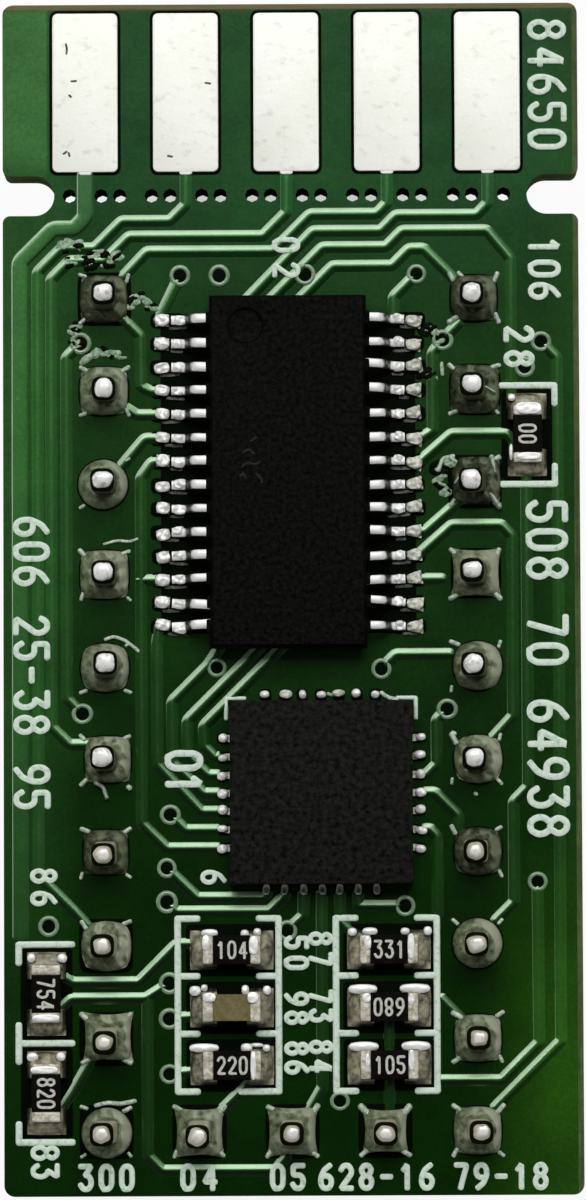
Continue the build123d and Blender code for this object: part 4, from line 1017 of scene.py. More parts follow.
def make_leads(draw):
    """The gull-wing leads, a painted shade line of dark mould where they leave the body, and painted shade
    round the lands.
    """
    level = cad_box("driver_chip_left_leads")
    shoulder, foot = level[1].z - TOP - 0.065, level[0].z - TOP + 0.065
    toe = TOES[1] - DRIVER_X
    face = DRIVER_HIGH.x - DRIVER_X
    bend_out = toe - LEAD_FOOT
    shade_rims, shade_collars = meshes(2)
    turns = random.Random(29)
    for side, word in ((-1, "left"), (1, "right")):
        bm = bmesh.new()
        for y in LEAD_Y:
            place = seat(DRIVER_X, y, 0 if side > 0 else 180)
            bent = place @ offset(toe, 0) @ turned(turns.uniform(-4, 4))
            path = [(face - 0.15, shoulder), (bend_out - LEAD_BEND + turns.uniform(-0.04, 0.04), shoulder),
                    (bend_out, foot), (toe, foot)]
            bar(bm, bent, [(x - toe, z) for x, z in path], turns.uniform(0.115, 0.14), LEAD_HALF, 0.14)
            # Dark collars of mould where each lead leaves the body: a painted shade line
            collar = offset(face + 0.03, turns.uniform(-0.01, 0.01), shoulder - 0.1)
            block(shade_collars, place @ collar, (0.12 + turns.uniform(0, 0.03), 0.36, 0.185), 0.03, corner=0.05)
            beyond = place @ offset(toe + 0.1, 0)
            mask_opening_shade(shade_rims, beyond, 0.56 + draw.uniform(0.34, 0.44), 0.42, 0.14, 0.013, 0.003)
        finish(bm, f"driver_{word}_gull_leads", LEAD, [f"driver_chip_{word}_leads"], 60)
        strip = seat(DRIVER_X + side * (face + toe + 0.15) / 2, (LEAD_Y[0] + LEAD_Y[-1]) / 2)
        mask_opening_shade(shade_rims, strip, toe + 0.45 - face, LEAD_Y[0] - LEAD_Y[-1] + 0.36, 0.1, 0.01, 0.003)
    finish(shade_rims, "lead_row_painted_shade", PAINTED_GAP_SHADE)
    finish(shade_collars, "driver_lead_shade_line", DRIVER, sharp=50)


def make_lead_solder(draw):
    """Bright lumps on and beyond each lead's foot, with darker streaks between the leads."""
    for side, word in ((-1, "left"), (1, "right")):
        toe = TOES[1] - DRIVER_X
        feet, toes, streaks = meshes(3)
        for row, y in enumerate(LEAD_Y):
            place = seat(DRIVER_X + side * toe, y, (0 if side > 0 else 180) + draw.uniform(-11, 11))
            half = draw.uniform(0.17, 0.21) if side < 0 else draw.uniform(0.14, 0.19)
            lean = draw.uniform(-0.025, 0.025)
            seed = row + 20 * (side + 1)
            on_foot = place @ offset(-half - draw.uniform(0.0, 0.03), lean)
            cap = (half * 1.08, 0.16, draw.uniform(0.2, 0.23), 0.2)
            mound(feet, on_foot, half, draw.uniform(0.105, 0.15), LOWEST, cap, "foot", seed)
            reach = draw.uniform(0.19, 0.22)
            outside = place @ offset(0.05 + reach, -lean)
            swell = draw.uniform(0.17, 0.2)
            if side < 0:
                cap = (reach * 1.1, 0.19, swell, 0.22)
                mound(feet, outside, reach, draw.uniform(0.14, 0.18), LOWEST, cap, "beyond_foot", seed + 50)
            else:
                cap = (reach * 1.15, 0.2, swell, 0.3)
                flare = draw.uniform(0.15, 0.4)
                mound(toes, outside, reach + 0.02, 0.155, LOWEST, cap, "toe", seed + 50, flare)
            below = seat(DRIVER_X + side * (toe - draw.uniform(-0.15, 0.2)), y - 0.2, draw.uniform(-5, 5))
            slab(streaks, below, draw.uniform(0.14, 0.34), 0.045, 0.05, "streak", seed + 90)
        finish(feet, f"driver_{word}_foot_solder", BRIGHT, ["driver_chip_solder"], 80)
        if toes.verts:
            finish(toes, f"driver_{word}_toe_solder", TOE, ["driver_chip_solder"], 80)
        finish(streaks, f"driver_{word}_solder_streaks", STREAK, sharp=80)


def make_driver():
    soften("driver_chip_body", "driver_body", DRIVER, 0.08)
    draw = random.Random(11)
    make_leads(draw)
    make_lead_solder(draw)
    ring, marks = meshes(2)
    face = seat(0, 0, level=DRIVER_HIGH.z)
    x, y = DRIVER_LOW.x + INDEX_FROM_SIDE, DRIVER_HIGH.y - INDEX_FROM_END
    # A dark ring for the first pin's dimple: painted shade at its edge
    arc = [(x + INDEX_RADIUS * cos(a / 8), y + INDEX_RADIUS * sin(a / 8)) for a in range(-6, 32)]
    ribbon(ring, arc, FAINT_LINE, 0.003, face, sections=4)
    for points in DRIVER_MARKS:
        ribbon(marks, points, FAINT_LINE, 0.004, face, sections=4)
    finish(ring, "driver_index_ring", PAINTED_GAP_SHADE)
    finish(marks, "driver_faint_marks", FAINT)


# Terminals of the upper edge, counted from the right, with little solder
DULL_TERMINALS = (2, 5)
UPPER, LOWER = 90, 270


def make_bridge():
    top = BRIDGE_HIGH.z - 0.3
    soften("bridge_chip_body", "bridge_body", BRIDGE, 0.03, lambda middle: middle.z > top)
    paint("bridge_chip_terminals", FILLET)
    paint("bridge_chip_thermal_pad", LEAD)
    bright, grey, shade_rims = meshes(3)
    draw = random.Random(3)
    for turn in (0, UPPER, 180, LOWER):
        for index, along in enumerate(TERMINALS):
            spot = turned(turn) @ Vector((BRIDGE_HALF, along, 0))
            place = seat(BRIDGE_X + spot.x, BRIDGE_Y + spot.y, turn + draw.uniform(-9, 9))
            # Near-black rim round each terminal: painted shade
            mask_opening_shade(shade_rims, place @ offset(0.1, 0), 0.52, 0.3, 0.1)
            if turn == LOWER:
                dent = (0.09, 0.07, -0.1)
                mound(grey, place @ offset(0.14, 0), 0.15, 0.1, 0.12, dent, "dented", index)
                continue
            dull = turn == UPPER and index in DULL_TERMINALS
            half_x = draw.uniform(0.13, 0.17) if turn != UPPER else draw.uniform(0.1, 0.13)
            half_y = draw.uniform(0.1, 0.14) * (1.35 if dull else 1)
            cap = (half_x * 1.08, half_y * 1.08, draw.uniform(0.16, 0.2), 0.25)
            lump = place @ offset(draw.uniform(0.17, 0.24), draw.uniform(-0.03, 0.03))
            heap = grey if dull else bright
            mound(heap, lump, half_x, half_y, LOWEST, cap, "terminal", index + turn)
            if turn != UPPER:
                slab(grey, place @ offset(0.06, 0), 0.12, 0.1, 0.06, "root", index + turn + 7)
    finish(bright, "bridge_terminal_solder", BRIGHT, ["bridge_chip_solder"], 80)
    finish(grey, "bridge_dull_solder", TOE, ["bridge_chip_solder"], 80)
    finish(shade_rims, "bridge_land_painted_shade", PAINTED_GAP_SHADE)


CHIP_LENGTH, CHIP_WIDTH = 1.6, 0.8
CAP_LENGTH = 0.3
CHIP_FLOOR = 0.05
LAND_INNER, LAND_OUTER = 0.4, 1.15
LAND_HALF_WIDTH = 0.55
COAT_HEIGHT = 0.1
CODE_HEIGHT, CODE_ADVANCE = 0.44, 0.3
RESISTOR_HEIGHT, CAPACITOR_HEIGHT = 0.45, 0.8
# Small chips on the front: name, middle, turn, height, number and whether the number is upside down
CHIPS = [
    ("resistor_1", -1.69, -9.69, 0, RESISTOR_HEIGHT, "104", False),
    ("resistor_2", -1.69, -12.84, 0, RESISTOR_HEIGHT, "220", False),
    ("resistor_3", 2.61, -9.69, 0, RESISTOR_HEIGHT, "331", False),
    ("resistor_4", 2.61, -11.265, 0, RESISTOR_HEIGHT, "680", True),
    ("resistor_5", 2.61, -12.84, 0, RESISTOR_HEIGHT, "105", False),
    ("resistor_6", -6.76, -10.87, 90, RESISTOR_HEIGHT, "754", True),
    ("resistor_7", -6.76, -13.57, 90, RESISTOR_HEIGHT, "820", True),
    ("resistor_8", 6.48, 4.42, 90, RESISTOR_HEIGHT, "00", True),
    ("capacitor_1", -1.69, -11.265, 0, CAPACITOR_HEIGHT, "", False),
]
BACK_CHIPS = [(f"back_capacitor_{row + 1}", 0.4, 6.6 - row * 2.2) for row in range(5)]


def chip_fillet(bm, place, end, height, seed, draw):
    """Solder over a land: it climbs the end cap's faces and falls to the land's edges."""
    rise = min(height, 0.5) * draw.uniform(0.6, 0.85)
    middle = (LAND_INNER + LAND_OUTER) / 2
    lump = draw.uniform(0.03, 0.07)

    def height_at(x, y):
        out = max(0.0, x + middle - CHIP_LENGTH / 2) / (LAND_OUTER - CHIP_LENGTH / 2)
        beside = max(0.0, abs(y) - CHIP_WIDTH / 2) / (LAND_HALF_WIDTH - CHIP_WIDTH / 2)
        climb = rise * max(0.0, 1 - out) ** 1.3 * max(0.0, 1 - beside) ** 0.8
        return 0.05 + climb + dome(x - 0.22, y - lump, 0.14, 0.42, lump + 0.04)

    spot = place @ turned(0 if end > 0 else 180) @ offset(middle, 0)
    blob(bm, spot, (LAND_OUTER - LAND_INNER) / 2, LAND_HALF_WIDTH, height_at, *LUMPS["fillet"], seed)


def chip_ends(caps, solder, place, height, seed, draw):
    for end in (-1, 1):
        spot = place @ offset(end * (CHIP_LENGTH - CAP_LENGTH) / 2, 0)
        block(caps, spot, (CAP_LENGTH, CHIP_WIDTH, height), 0.07, CHIP_FLOOR)
        chip_fillet(solder, place, end, height, seed + end, draw)


# Painted highlights, white lumps on each small chip: offset from its middle along the board and half sizes
HIGHLIGHT_BLOBS = {
    "resistor_1": [
        (-0.6, 0.46, 0.22, 0.09), (-0.7, 0.2, 0.1, 0.16), (0.36, 0.44, 0.11, 0.09),
        (0.7, 0.48, 0.1, 0.09), (0.6, 0.12, 0.12, 0.2),
    ],
    "resistor_2": [
        (-0.76, 0.48, 0.39, 0.1), (0.4, 0.48, 0.15, 0.1), (0.94, 0.47, 0.1, 0.08),
        (0.58, 0.0, 0.07, 0.32), (0.67, 0.55, 0.18, 0.05),
    ],
    "resistor_3": [
        (-1.0, 0.48, 0.12, 0.09), (-0.52, 0.49, 0.2, 0.09), (-0.58, 0.18, 0.09, 0.14),
        (0.44, 0.49, 0.12, 0.08), (0.6, 0.08, 0.09, 0.28), (1.06, 0.5, 0.11, 0.1),
    ],
    "resistor_4": [
        (-0.72, 0.49, 0.38, 0.11), (0.7, 0.5, 0.4, 0.11), (-0.62, 0.25, 0.11, 0.1),
        (0.6, 0.2, 0.08, 0.12),
    ],
    "resistor_5": [
        (-0.7, 0.5, 0.39, 0.11), (0.72, 0.51, 0.38, 0.11), (-0.6, 0.12, 0.06, 0.16),
        (0.6, 0.14, 0.08, 0.22),
    ],
    "resistor_6": [(-0.4, 0.98, 0.11, 0.1), (0.44, 0.97, 0.13, 0.1), (0.0, -0.66, 0.36, 0.08)],
    "resistor_7": [(-0.37, 0.98, 0.15, 0.1), (0.4, 0.99, 0.12, 0.1), (-0.05, 0.63, 0.36, 0.08)],
    "resistor_8": [
        (0.02, 0.7, 0.34, 0.13), (0.03, -0.62, 0.31, 0.08), (-0.45, -0.5, 0.06, 0.18),
        (-0.43, 1.0, 0.1, 0.08),
    ],
    "capacitor_1": [
        (-1.0, 0.46, 0.15, 0.11), (-0.6, 0.28, 0.16, 0.1), (0.37, 0.48, 0.1, 0.11),
        (0.96, 0.47, 0.11, 0.1), (0.58, 0.27, 0.14, 0.12), (-0.75, 0.54, 0.09, 0.08),
    ],
}


# White lumps where the chips' solder and caps catch the light: painted highlights
def make_highlight_blobs():
    bm = bmesh.new()
    for name, x, y, turn, height, *_ in CHIPS:
        for index, (dx, dy, half_x, half_y) in enumerate(HIGHLIGHT_BLOBS[name]):
            along, across = (dx, dy) if turn == 0 else (dy, dx)
            on_cap = abs(along) < CHIP_LENGTH / 2 + 0.02 and abs(across) < CHIP_WIDTH / 2 - 0.03
            base = CHIP_FLOOR + height - 0.05 if on_cap else 0.05
            tall = 0.09 if on_cap else min(height, 0.36)
            wide, deep = half_x * 1.05, half_y * 1.25
            cap = (wide * 1.1, deep * 1.1, tall * 0.4, 0.25)
            place = seat(x + dx, y + dy, level=TOP + base)
            mound(bm, place, wide, deep, tall * 0.6, cap, "painted_glint", index + len(name) + dx)
    finish(bm, "chip_highlight_blobs", BRIGHT)


def make_small_chips():
    caps, coats, solder, codes, shade_rims = meshes(5)
    draw = random.Random(21)
    for index, (name, x, y, turn, height, code, flipped) in enumerate(CHIPS):
        place = seat(x, y, turn)
        chip_ends(caps, solder, place, height, index * 2, draw)
        # Near-black rim round each chip's lands: painted shade
        mask_opening_shade(shade_rims, place, 2 * LAND_OUTER + 0.2, 2 * LAND_HALF_WIDTH + 0.32, 0.12)
        paint(name, CERAMIC if code else TAN)
        if code:
            coat_floor = CHIP_FLOOR + height - COAT_HEIGHT
            size = (CHIP_LENGTH - 2 * CAP_LENGTH + 0.02, CHIP_WIDTH, COAT_HEIGHT)
            block(coats, place, size, 0.02, coat_floor)
            start = offset(-(len(code) - 1) * CODE_ADVANCE / 2 - 0.08, -CODE_HEIGHT / 2)
            facing = place @ turned(180 if flipped else 0) @ start
            write_number(codes, code, facing, CODE_HEIGHT, 0.075, CODE_ADVANCE, 0.01, 0.4,
                         coat_floor + COAT_HEIGHT - 0.002)
    finish(caps, "front_end_caps", CAP, [f"{name}_end_caps" for name, *_ in CHIPS], 50)
    finish(coats, "resistor_coats", COAT)
    finish(solder, "front_chip_fillets", FILLET, ["front_chip_solder"], 80)
    finish(codes, "resistor_numbers", CODE)
    finish(shade_rims, "chip_land_painted_shade", PAINTED_GAP_SHADE)
    make_highlight_blobs()
    caps, solder = meshes(2)
    for index, (name, x, y) in enumerate(BACK_CHIPS):
        paint(name, TAN)
        chip_ends(caps, solder, seat(x, y, front=False), CAPACITOR_HEIGHT, 60 + index * 2, draw)
    finish(caps, "back_end_caps", CAP, ["back_capacitor_end_caps"], 50)
    finish(solder, "back_chip_fillets", FILLET, ["back_chip_solder"], 80)


# ---- Headers

# Looks of the joints from the top down: half size, squareness of the outline, lumps, horns at the four
# corners from the upper left clockwise, middle of the mound and lean of the tip
JOINTS = {
    "left": [
        (0.66, 3.2, 0.10, (0.5, 0.6, 0.3, 0.6), (-0.02, 0.00), (0.00, 0.06)),
        (0.67, 3.0, 0.07, (0.7, 0.9, 0.6, 0.4), (-0.02, 0.00), (0.00, -0.03)),
        (0.69, 2.0, 0.03, (0.0, 0.2, 0.1, 0.3), (-0.05, -0.04), (-0.04, 0.00)),
        (0.67, 3.4, 0.10, (1.0, 0.6, 0.2, 0.5), (-0.02, 0.02), (-0.02, 0.02)),
        (0.67, 2.3, 0.04, (0.1, 0.2, 0.5, 0.5), (-0.01, 0.00), (0.03, 0.08)),
        (0.64, 3.4, 0.09, (0.5, 0.5, 0.1, 0.8), (0.06, 0.02), (-0.06, 0.04)),
        (0.62, 3.6, 0.09, (0.8, 0.7, 0.3, 0.3), (0.00, 0.02), (-0.04, -0.08)),
        (0.69, 2.4, 0.13, (0.9, 0.7, 0.0, 0.0), (0.01, -0.01), (-0.07, -0.02)),
        (0.66, 5.0, 0.08, (1.4, 1.0, 1.0, 0.9), (0.05, 0.05), (-0.02, -0.11)),
        (0.70, 2.0, 0.05, (0.5, 0.8, 0.2, 0.3), (0.01, -0.03), (-0.10, -0.06)),
    ],
    "right": [
        (0.64, 3.4, 0.10, (0.9, 0.9, 1.0, 1.2), (0.00, -0.02), (-0.08, 0.01)),
        (0.68, 4.0, 0.14, (1.0, 0.6, 0.5, 0.8), (0.02, 0.00), (-0.09, 0.05)),
        (0.66, 4.0, 0.17, (1.0, 1.3, 1.6, 0.9), (0.05, 0.02), (-0.14, -0.03)),
        (0.66, 5.0, 0.04, (0.9, 1.0, 1.2, 1.0), (0.02, 0.02), (-0.11, 0.03)),
        (0.68, 2.1, 0.06, (0.9, 0.4, 0.0, 0.2), (0.05, 0.01), (-0.10, 0.01)),
        (0.67, 2.3, 0.08, (1.2, 0.4, 0.5, 0.2), (0.05, -0.01), (-0.08, -0.03)),
        (0.66, 2.4, 0.08, (0.9, 0.5, 0.5, 0.1), (0.03, 0.00), (-0.06, -0.02)),
        (0.69, 2.0, 0.04, (0.6, 0.4, 0.1, 0.1), (0.00, 0.03), (-0.04, -0.01)),
        (0.65, 3.0, 0.05, (1.3, 0.8, 0.5, 0.9), (0.00, -0.02), (0.00, -0.02)),
        (0.66, 2.8, 0.05, (0.9, 1.1, 0.5, 0.8), (-0.02, 0.00), (0.06, -0.04)),
    ],
    "middle": [
        (0.66, 5.0, 0.06, (0.9, 1.6, 0.6, 0.5), (0.00, -0.02), (-0.04, -0.13)),
        (0.67, 5.0, 0.06, (1.0, 1.5, 1.0, 0.9), (0.00, 0.00), (-0.01, -0.06)),
        (0.60, 5.0, 0.05, (1.8, 1.8, 1.0, 1.0), (0.00, 0.00), (0.00, -0.07)),
    ],
}
DULL_JOINTS = {"left": (0, 6), "right": (0, 1, 2, 6), "middle": ()}
# Joints with a larger dark square round them, its half size and its squareness
OPEN_LANDS = {"left": (0, 7, 8, 9), "right": (2,), "middle": (0, 1, 2)}
OPEN_LAND = (0.74, 7)
CORNERS = ((-1, 1), (1, 1), (1, -1), (-1, -1))
# Joints squarer than this are hollow along their sides
HOLLOW = 4.5
# Pins below this y look duller
LOW_ROWS = -6.0
# Rows of a dark ring of painted shade round a pin's tip: height from the tip, half sizes, squareness
TIP_SHADE_ROWS = [(-0.28, 0.3, 0.3, 4), (-0.26, 0.325, 0.325, 3.4), (-0.19, 0.325, 0.32, 3.2),
             (-0.14, 0.27, 0.265, 3)]


def make_joint(bm, x, y, looks, seed):
    """One pin's solder: a low mound with a shallow valley round the pin."""
    half, power, lumps, horns, middle, lean = looks
    hollow = power > HOLLOW

    def height_at(px, py):
        away = (abs(px) ** power + abs(py) ** power) ** (1 / power) / half
        mound = 0.3 * max(0.0, 1 - away ** 3.4) ** 0.7
        off_pin = hypot(px + middle[0] - lean[0] * 0.6, py + middle[1] - lean[1] * 0.6)
        return 0.04 + mound - 0.1 * exp(-((off_pin - 0.28) / 0.12) ** 2)

    reach = half * (0.93 if hollow else 1.0)
    roundness = -0.3 if hollow else 0.5 * (2 / power) ** 2
    blob(bm, seat(x + middle[0], y + middle[1]), reach, reach, height_at, 40, roundness, lumps, 0.24, seed)


def make_horns(bm, x, y, horns, draw):
    """Thin ridges of solder out to the corners of a pin's land."""
    for (sx, sy), size in zip(CORNERS, horns):
        if size < 0.15:
            continue
        reach = 0.67 + draw.uniform(-0.02, 0.02)
        inner = reach - 0.05 - 0.1 * size
        turn = draw.uniform(-0.06, 0.06)
        points = [(x + sx * (inner + turn), y + sy * (inner - turn)), (x + sx * reach, y + sy * reach)]
        ribbon(bm, points, 0.08 + 0.06 * size, 0.06 + 0.05 * size)


# A pin's square foot and shaft, from the foot and from the tip: height, half size and squareness
PIN_FOOT = [(0.0, 0.16, 4), (0.04, 0.2, 6), (0.16, 0.3, 9), (0.24, 0.32, 12)]
PIN_NECK = [(0.62, 0.3, 5), (0.3, 0.295, 4)]


def pin_rows(foot, tip, lean, low, draw):
    """A square pin from its pointed foot to its worn tip, domed on the low pins, as rows for loft."""
    twist = draw.uniform(-0.4, 0.4)
    top_lean = (lean[0] + 0.03 * cos(twist), lean[1] + 0.02)
    wide, deep = draw.uniform(0.88, 1.0), draw.uniform(0.84, 0.98)
    rows = [(foot + up, half, half, power) for up, half, power in PIN_FOOT]
    rows += [(TOP, 0.32, 0.32, 12), (TOP + 0.4, 0.3, 0.3, 6)]
    rows += [(tip - down, half, half, power, lean) for down, half, power in PIN_NECK]
    if low:
        glint = (lean[0] + draw.uniform(-0.01, 0.05), lean[1] + draw.uniform(0.0, 0.05))
        return rows + [
            (tip - 0.2, 0.285 * wide, 0.285 * deep, 2.6, lean),
            (tip - 0.1, 0.24 * wide, 0.235 * deep, 2.3, lean),
            (tip - 0.025, 0.15, 0.145, 2.1, glint), (tip, 0.1, 0.09, 2, glint),
        ]
    return rows + [
        (tip - 0.16, 0.28 * wide, 0.28 * deep, 2.6, lean),
        (tip - 0.07, 0.25 * wide, 0.245 * deep, 2.3, top_lean),
        (tip - 0.02, 0.2 * wide, 0.185 * deep, 2.1, top_lean), (tip, 0.09, 0.08, 2, top_lean),
    ]


def make_headers():
    draw = random.Random(8)
    for word, joints in JOINTS.items():
        paint(f"{word}_header_strip", HEADER)
        pins, low_pins, solder, dull, shade_rims, flux, horns = meshes(7)
        for index, (low, high) in enumerate(islands(f"{word}_header_pins")):
            x, y = (low.x + high.x) / 2, (low.y + high.y) / 2
            half, power, _, ridges, middle, lean = joints[index]
            is_low = y < LOW_ROWS
            rows = pin_rows(low.z, high.z, lean, is_low, draw)
            loft(low_pins if is_low else pins, offset(x, y), rows, 32, 0.16, index * 5.3 + len(word))
            is_dull = index in DULL_JOINTS[word]
            make_joint(dull if is_dull else solder, x, y, joints[index], index * 3 + len(word))
            make_horns(horns, x, y, ridges, draw)
            # A near-black square or rim round each joint: painted shade
            bare = index in OPEN_LANDS[word]
            ring, corner = OPEN_LAND if bare else (half + 0.035, power)
            spot = seat(x, y) if bare else seat(x + middle[0], y + middle[1])
            loft(shade_rims, spot, [(0.004, ring, ring, corner), (0.012, ring, ring, corner),
                              (0.014, ring - 0.01, ring - 0.01, corner)], 40)
            # A dark ring just under each tip: painted shade
            loft(flux, offset(x + lean[0], y + lean[1], high.z), TIP_SHADE_ROWS, 32)
        if pins.verts:
            finish(pins, f"{word}_pins_rounded", PIN, [f"{word}_header_pins"], 45)
        finish(low_pins, f"{word}_low_pins_rounded", LOW_PIN, [f"{word}_header_pins"], 45)
        finish(solder, f"{word}_pin_joints", SOLDER, [f"{word}_pin_solder"], 80)
        if dull.verts:
            finish(dull, f"{word}_dull_pin_joints", DULL)
        finish(shade_rims, f"{word}_joint_painted_shade", PAINTED_GAP_SHADE)
        finish(flux, f"{word}_tip_shade_rings", FLUX_AND_TIP_SHADE)
        finish(horns, f"{word}_joint_horns", RESIDUE)


# Wisps of solder drawn out by the iron: points, width, height
WISPS = [
    ([(-5.12, -1.16), (-4.9, -1.08), (-4.6, -1.18), (-4.22, -1.48)], 0.1, 0.05),
    ([(-5.15, 1.46), (-4.8, 1.56), (-4.45, 1.52), (-4.25, 1.6)], 0.08, 0.04),
    ([(-5.42, -13.92), (-5.1, -13.84), (-4.75, -13.88), (-4.36, -13.8)], 0.12, 0.06),
    ([(-4.5, -5.22), (-4.47, -5.24)], 0.15, 0.08), ([(4.39, -3.78), (4.42, -3.8)], 0.15, 0.08),
    ([(5.0, -5.44), (5.02, -5.45)], 0.11, 0.06), ([(4.62, 8.9), (4.8, 8.72)], 0.11, 0.06),
    ([(5.36, 6.1), (5.5, 6.3), (5.72, 6.34)], 0.12, 0.06),
    ([(4.04, 3.48), (4.16, 3.78), (4.44, 3.84)], 0.12, 0.06), ([(5.5, 3.8), (5.58, 3.4)], 0.16, 0.3),
    ([(5.2, 3.16), (5.4, 2.86), (5.7, 2.44)], 0.15, 0.3),
    ([(4.5, 3.1), (4.7, 3.36), (4.92, 3.4)], 0.1, 0.3), ([(5.1, 5.86), (5.58, 5.58)], 0.11, 0.34),
    ([(4.14, 6.4), (4.16, 6.1)], 0.1, 0.05), ([(2.44, -2.66), (2.62, -2.8), (2.86, -2.84)], 0.12, 0.06),
    ([(0.98, -2.68), (1.12, -2.74), (1.3, -2.66)], 0.1, 0.06),
    ([(-5.4, -5.1), (-5.2, -5.2), (-5.1, -5.5)], 0.11, 0.28),
]
# Trails of burnt flux and solder crumbs: points, width of the trail
TRAILS = [
    ([(-6.3, 9.62), (-6.1, 9.74), (-5.75, 9.66)], 0.1), ([(-6.2, 9.3), (-5.85, 9.26)], 0.1),
    ([(-5.7, 9.42), (-5.3, 9.5), (-4.85, 9.36), (-4.62, 9.26)], 0.16),
    ([(-5.6, 9.16), (-4.95, 9.16)], 0.1), ([(-4.5, 8.0), (-4.1, 8.3), (-3.8, 7.95)], 0.12),
    ([(-5.9, 7.55), (-5.98, 7.2), (-5.8, 6.9)], 0.08),
    ([(-5.6, 6.62), (-5.1, 6.78), (-4.6, 6.62)], 0.07),
    ([(3.92, 3.6), (4.12, 3.34), (4.05, 3.02), (4.3, 2.86)], 0.18), ([(4.2, 3.66), (4.7, 3.58)], 0.1),
    ([(3.5, 7.2), (3.8, 7.4), (4.1, 7.1)], 0.12), ([(3.6, 6.2), (3.9, 6.0)], 0.12),
]
CRUMB_PITCH = 0.06
PALE_SHARE = 0.64


def make_residues():
    wisps, pale, dark = meshes(3)
    for points, width, rise in WISPS:
        ribbon(wisps, points, width, rise, seat(0, 0, level=TOP + 0.02), corner=0.1)
    finish(wisps, "solder_wisps", RESIDUE)
    draw = random.Random(17)
    for points, width in TRAILS:
        route = [Vector(p) for p in points]
        for start, end in zip(route, route[1:]):
            leg = end - start
            for _ in range(max(1, round(leg.length / CRUMB_PITCH))):
                spot = start + leg * draw.random()
                aside = draw.gauss(0, width * 0.5)
                place = seat(spot.x - aside * 0.4, spot.y + aside, draw.uniform(-40, 40))
                size = draw.uniform(0.05, 0.12)
                long = size * draw.uniform(1.2, 2.6)
                cap = (long, size, draw.uniform(0.03, 0.07), 0.6)
                heap = pale if draw.random() < PALE_SHARE else dark
                mound(heap, place, long, size, 0.01, cap, "crumb", draw.uniform(0, 9))
    finish(pale, "solder_crumbs", CRUMB, sharp=70)
    finish(dark, "flux_crumbs", FLUX_AND_TIP_SHADE, sharp=70)


for make in (make_tracks, make_vias, make_print, make_contacts, make_driver, make_bridge, make_small_chips,
             make_headers, make_residues):
    make()

# ---- Stage, light and camera

FLOOR_HALF = 1.2
FLOOR_CLEARANCE = 0.00005
# The soft shadow under the board, painted on the floor: axis, where it begins and where it is full
SHADOW = (("X", 7.4, 2.6), ("Y", 17.4, 8.6))
SHADOW_DEPTH = 0.64
SHADOW_TINT = (0.95, 1.02, 0.94)
FLOOR_GLOW = 0.92
# Brightness of the sky from the board's level up
SKY = [(0.0, 0.9), (0.1, 0.9), (0.2, 0.4), (0.5, 0.16), (0.85, 0.06), (1.0, 0.02)]


def place_object(name, data):
    thing = bpy.data.objects.new(name, data)
    bpy.context.scene.collection.objects.link(thing)
    return thing


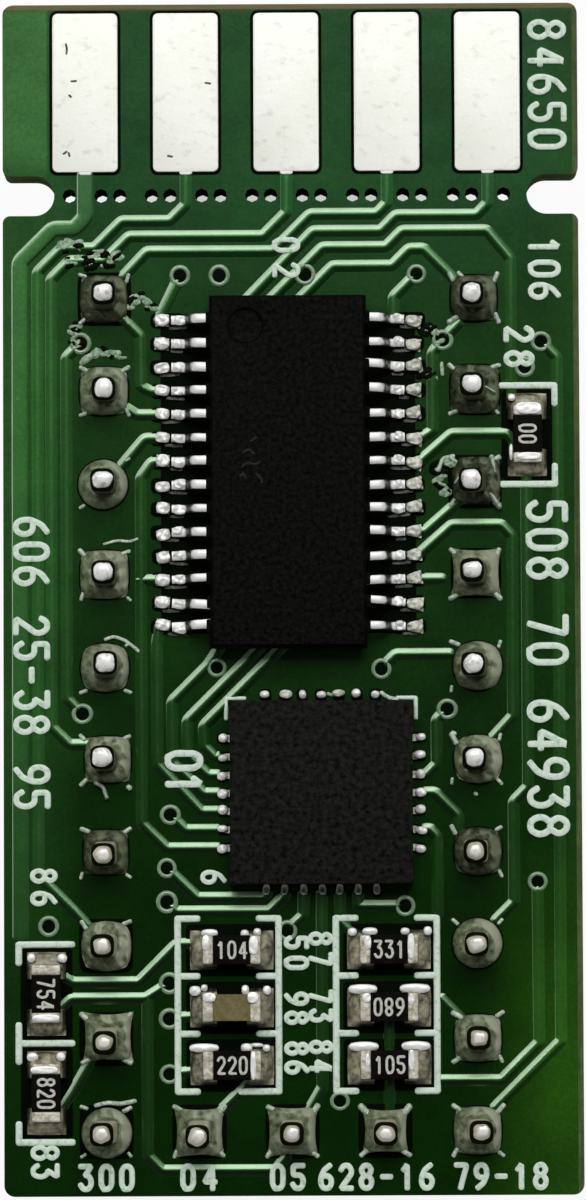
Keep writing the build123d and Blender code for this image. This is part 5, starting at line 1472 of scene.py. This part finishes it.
def make_stage():
    """A white floor that glows to the camera and to reflections, with a soft shadow under the board."""
    mesh = bpy.data.meshes.new("floor")
    corners = [(x * FLOOR_HALF, y * FLOOR_HALF, 0) for x, y in ((-1, -1), (1, -1), (1, 1), (-1, 1))]
    mesh.from_pydata(corners, [], [(0, 1, 2, 3)])
    floor = place_object("floor", mesh)
    floor.location.z = cad_bounds[0].z - FLOOR_CLEARANCE
    nodes = new_material("white_floor")
    axes = nodes.axes(nodes.place)
    under = 1.0
    for axis, outer, inner in SHADOW:
        under = nodes.times(under, nodes.span(nodes.math("ABSOLUTE", axes[axis]), outer * MM, inner * MM))
    dim = nodes.math("MULTIPLY_ADD", under, -SHADOW_DEPTH, 1.0)
    glow = nodes.add("Emission", Color=nodes.mix(under, (1, 1, 1), SHADOW_TINT), Strength=dim)
    plain = nodes.add("BsdfDiffuse", Color=(0.9, 0.9, 0.9))
    rays = nodes.add("LightPath").outputs
    seen = nodes.math("MAXIMUM", rays["Is Camera Ray"], rays["Is Glossy Ray"])
    seen = nodes.math("MAXIMUM", seen, rays["Is Transmission Ray"])
    blend = nodes.add("MixShader", Fac=nodes.times(seen, FLOOR_GLOW))
    nodes.put(blend.inputs[1], plain.outputs[0])
    nodes.put(blend.inputs[2], glow.outputs[0])
    nodes.put(nodes.tree.nodes["Material Output"].inputs["Surface"], blend.outputs[0])
    nodes.tree.nodes.remove(nodes.shader)
    mesh.materials.append(nodes.owner)


def make_world():
    world = bpy.data.worlds.new("studio")
    bpy.context.scene.world = world
    nodes = Nodes(world)
    height = nodes.axes(nodes.place.node.outputs["Generated"])["Z"]
    nodes.put(nodes.tree.nodes["Background"].inputs["Color"], nodes.ramp(height, *SKY))


def add_panel(name, azimuth, elevation, distance, size, radiance):
    """A square soft light that faces the board; azimuth is turned from +Y towards +X."""
    a, e = radians(azimuth), radians(elevation)
    direction = Vector((sin(a) * cos(e), cos(a) * cos(e), sin(e)))
    lamp = bpy.data.lights.new(name, "AREA")
    lamp.shape = "RECTANGLE"
    lamp.size, lamp.size_y = size[0] * MM, size[1] * MM
    lamp.energy = radiance * pi * lamp.size * lamp.size_y
    panel = place_object(name, lamp)
    panel.location = Vector((0, 0, TOP * MM)) + direction * distance * MM
    panel.rotation_mode = "QUATERNION"
    panel.rotation_quaternion = (-direction).to_track_quat("-Z", "Y")


def make_camera():
    x, y, z = (Matrix.Rotation(radians(angle), 3, axis) for angle, axis in zip(CAMERA_TILT, "XYZ"))
    back = (x @ y @ z).transposed()
    data = bpy.data.cameras.new("photo_camera")
    data.sensor_width = SENSOR
    data.lens = PX_PER_MM * CAMERA_DISTANCE * SENSOR / PHOTO_HEIGHT_PX
    data.clip_start, data.clip_end = 0.01, 10
    camera = place_object("photo_camera", data)
    aside = Vector((-PRINCIPAL_OFFSET_PX[0], PRINCIPAL_OFFSET_PX[1], 0)) / PX_PER_MM
    spot = Vector((0, 0, TOP)) + back @ (Vector((0, 0, CAMERA_DISTANCE)) + aside)
    camera.matrix_world = Matrix.Translation(spot * MM) @ back.to_4x4()
    bpy.context.scene.camera = camera


make_stage()
make_world()
add_panel("key_panel", 0, 58, 420, (370, 240), 5.3)
make_camera()
bpy.context.scene.view_settings.view_transform = "Standard"
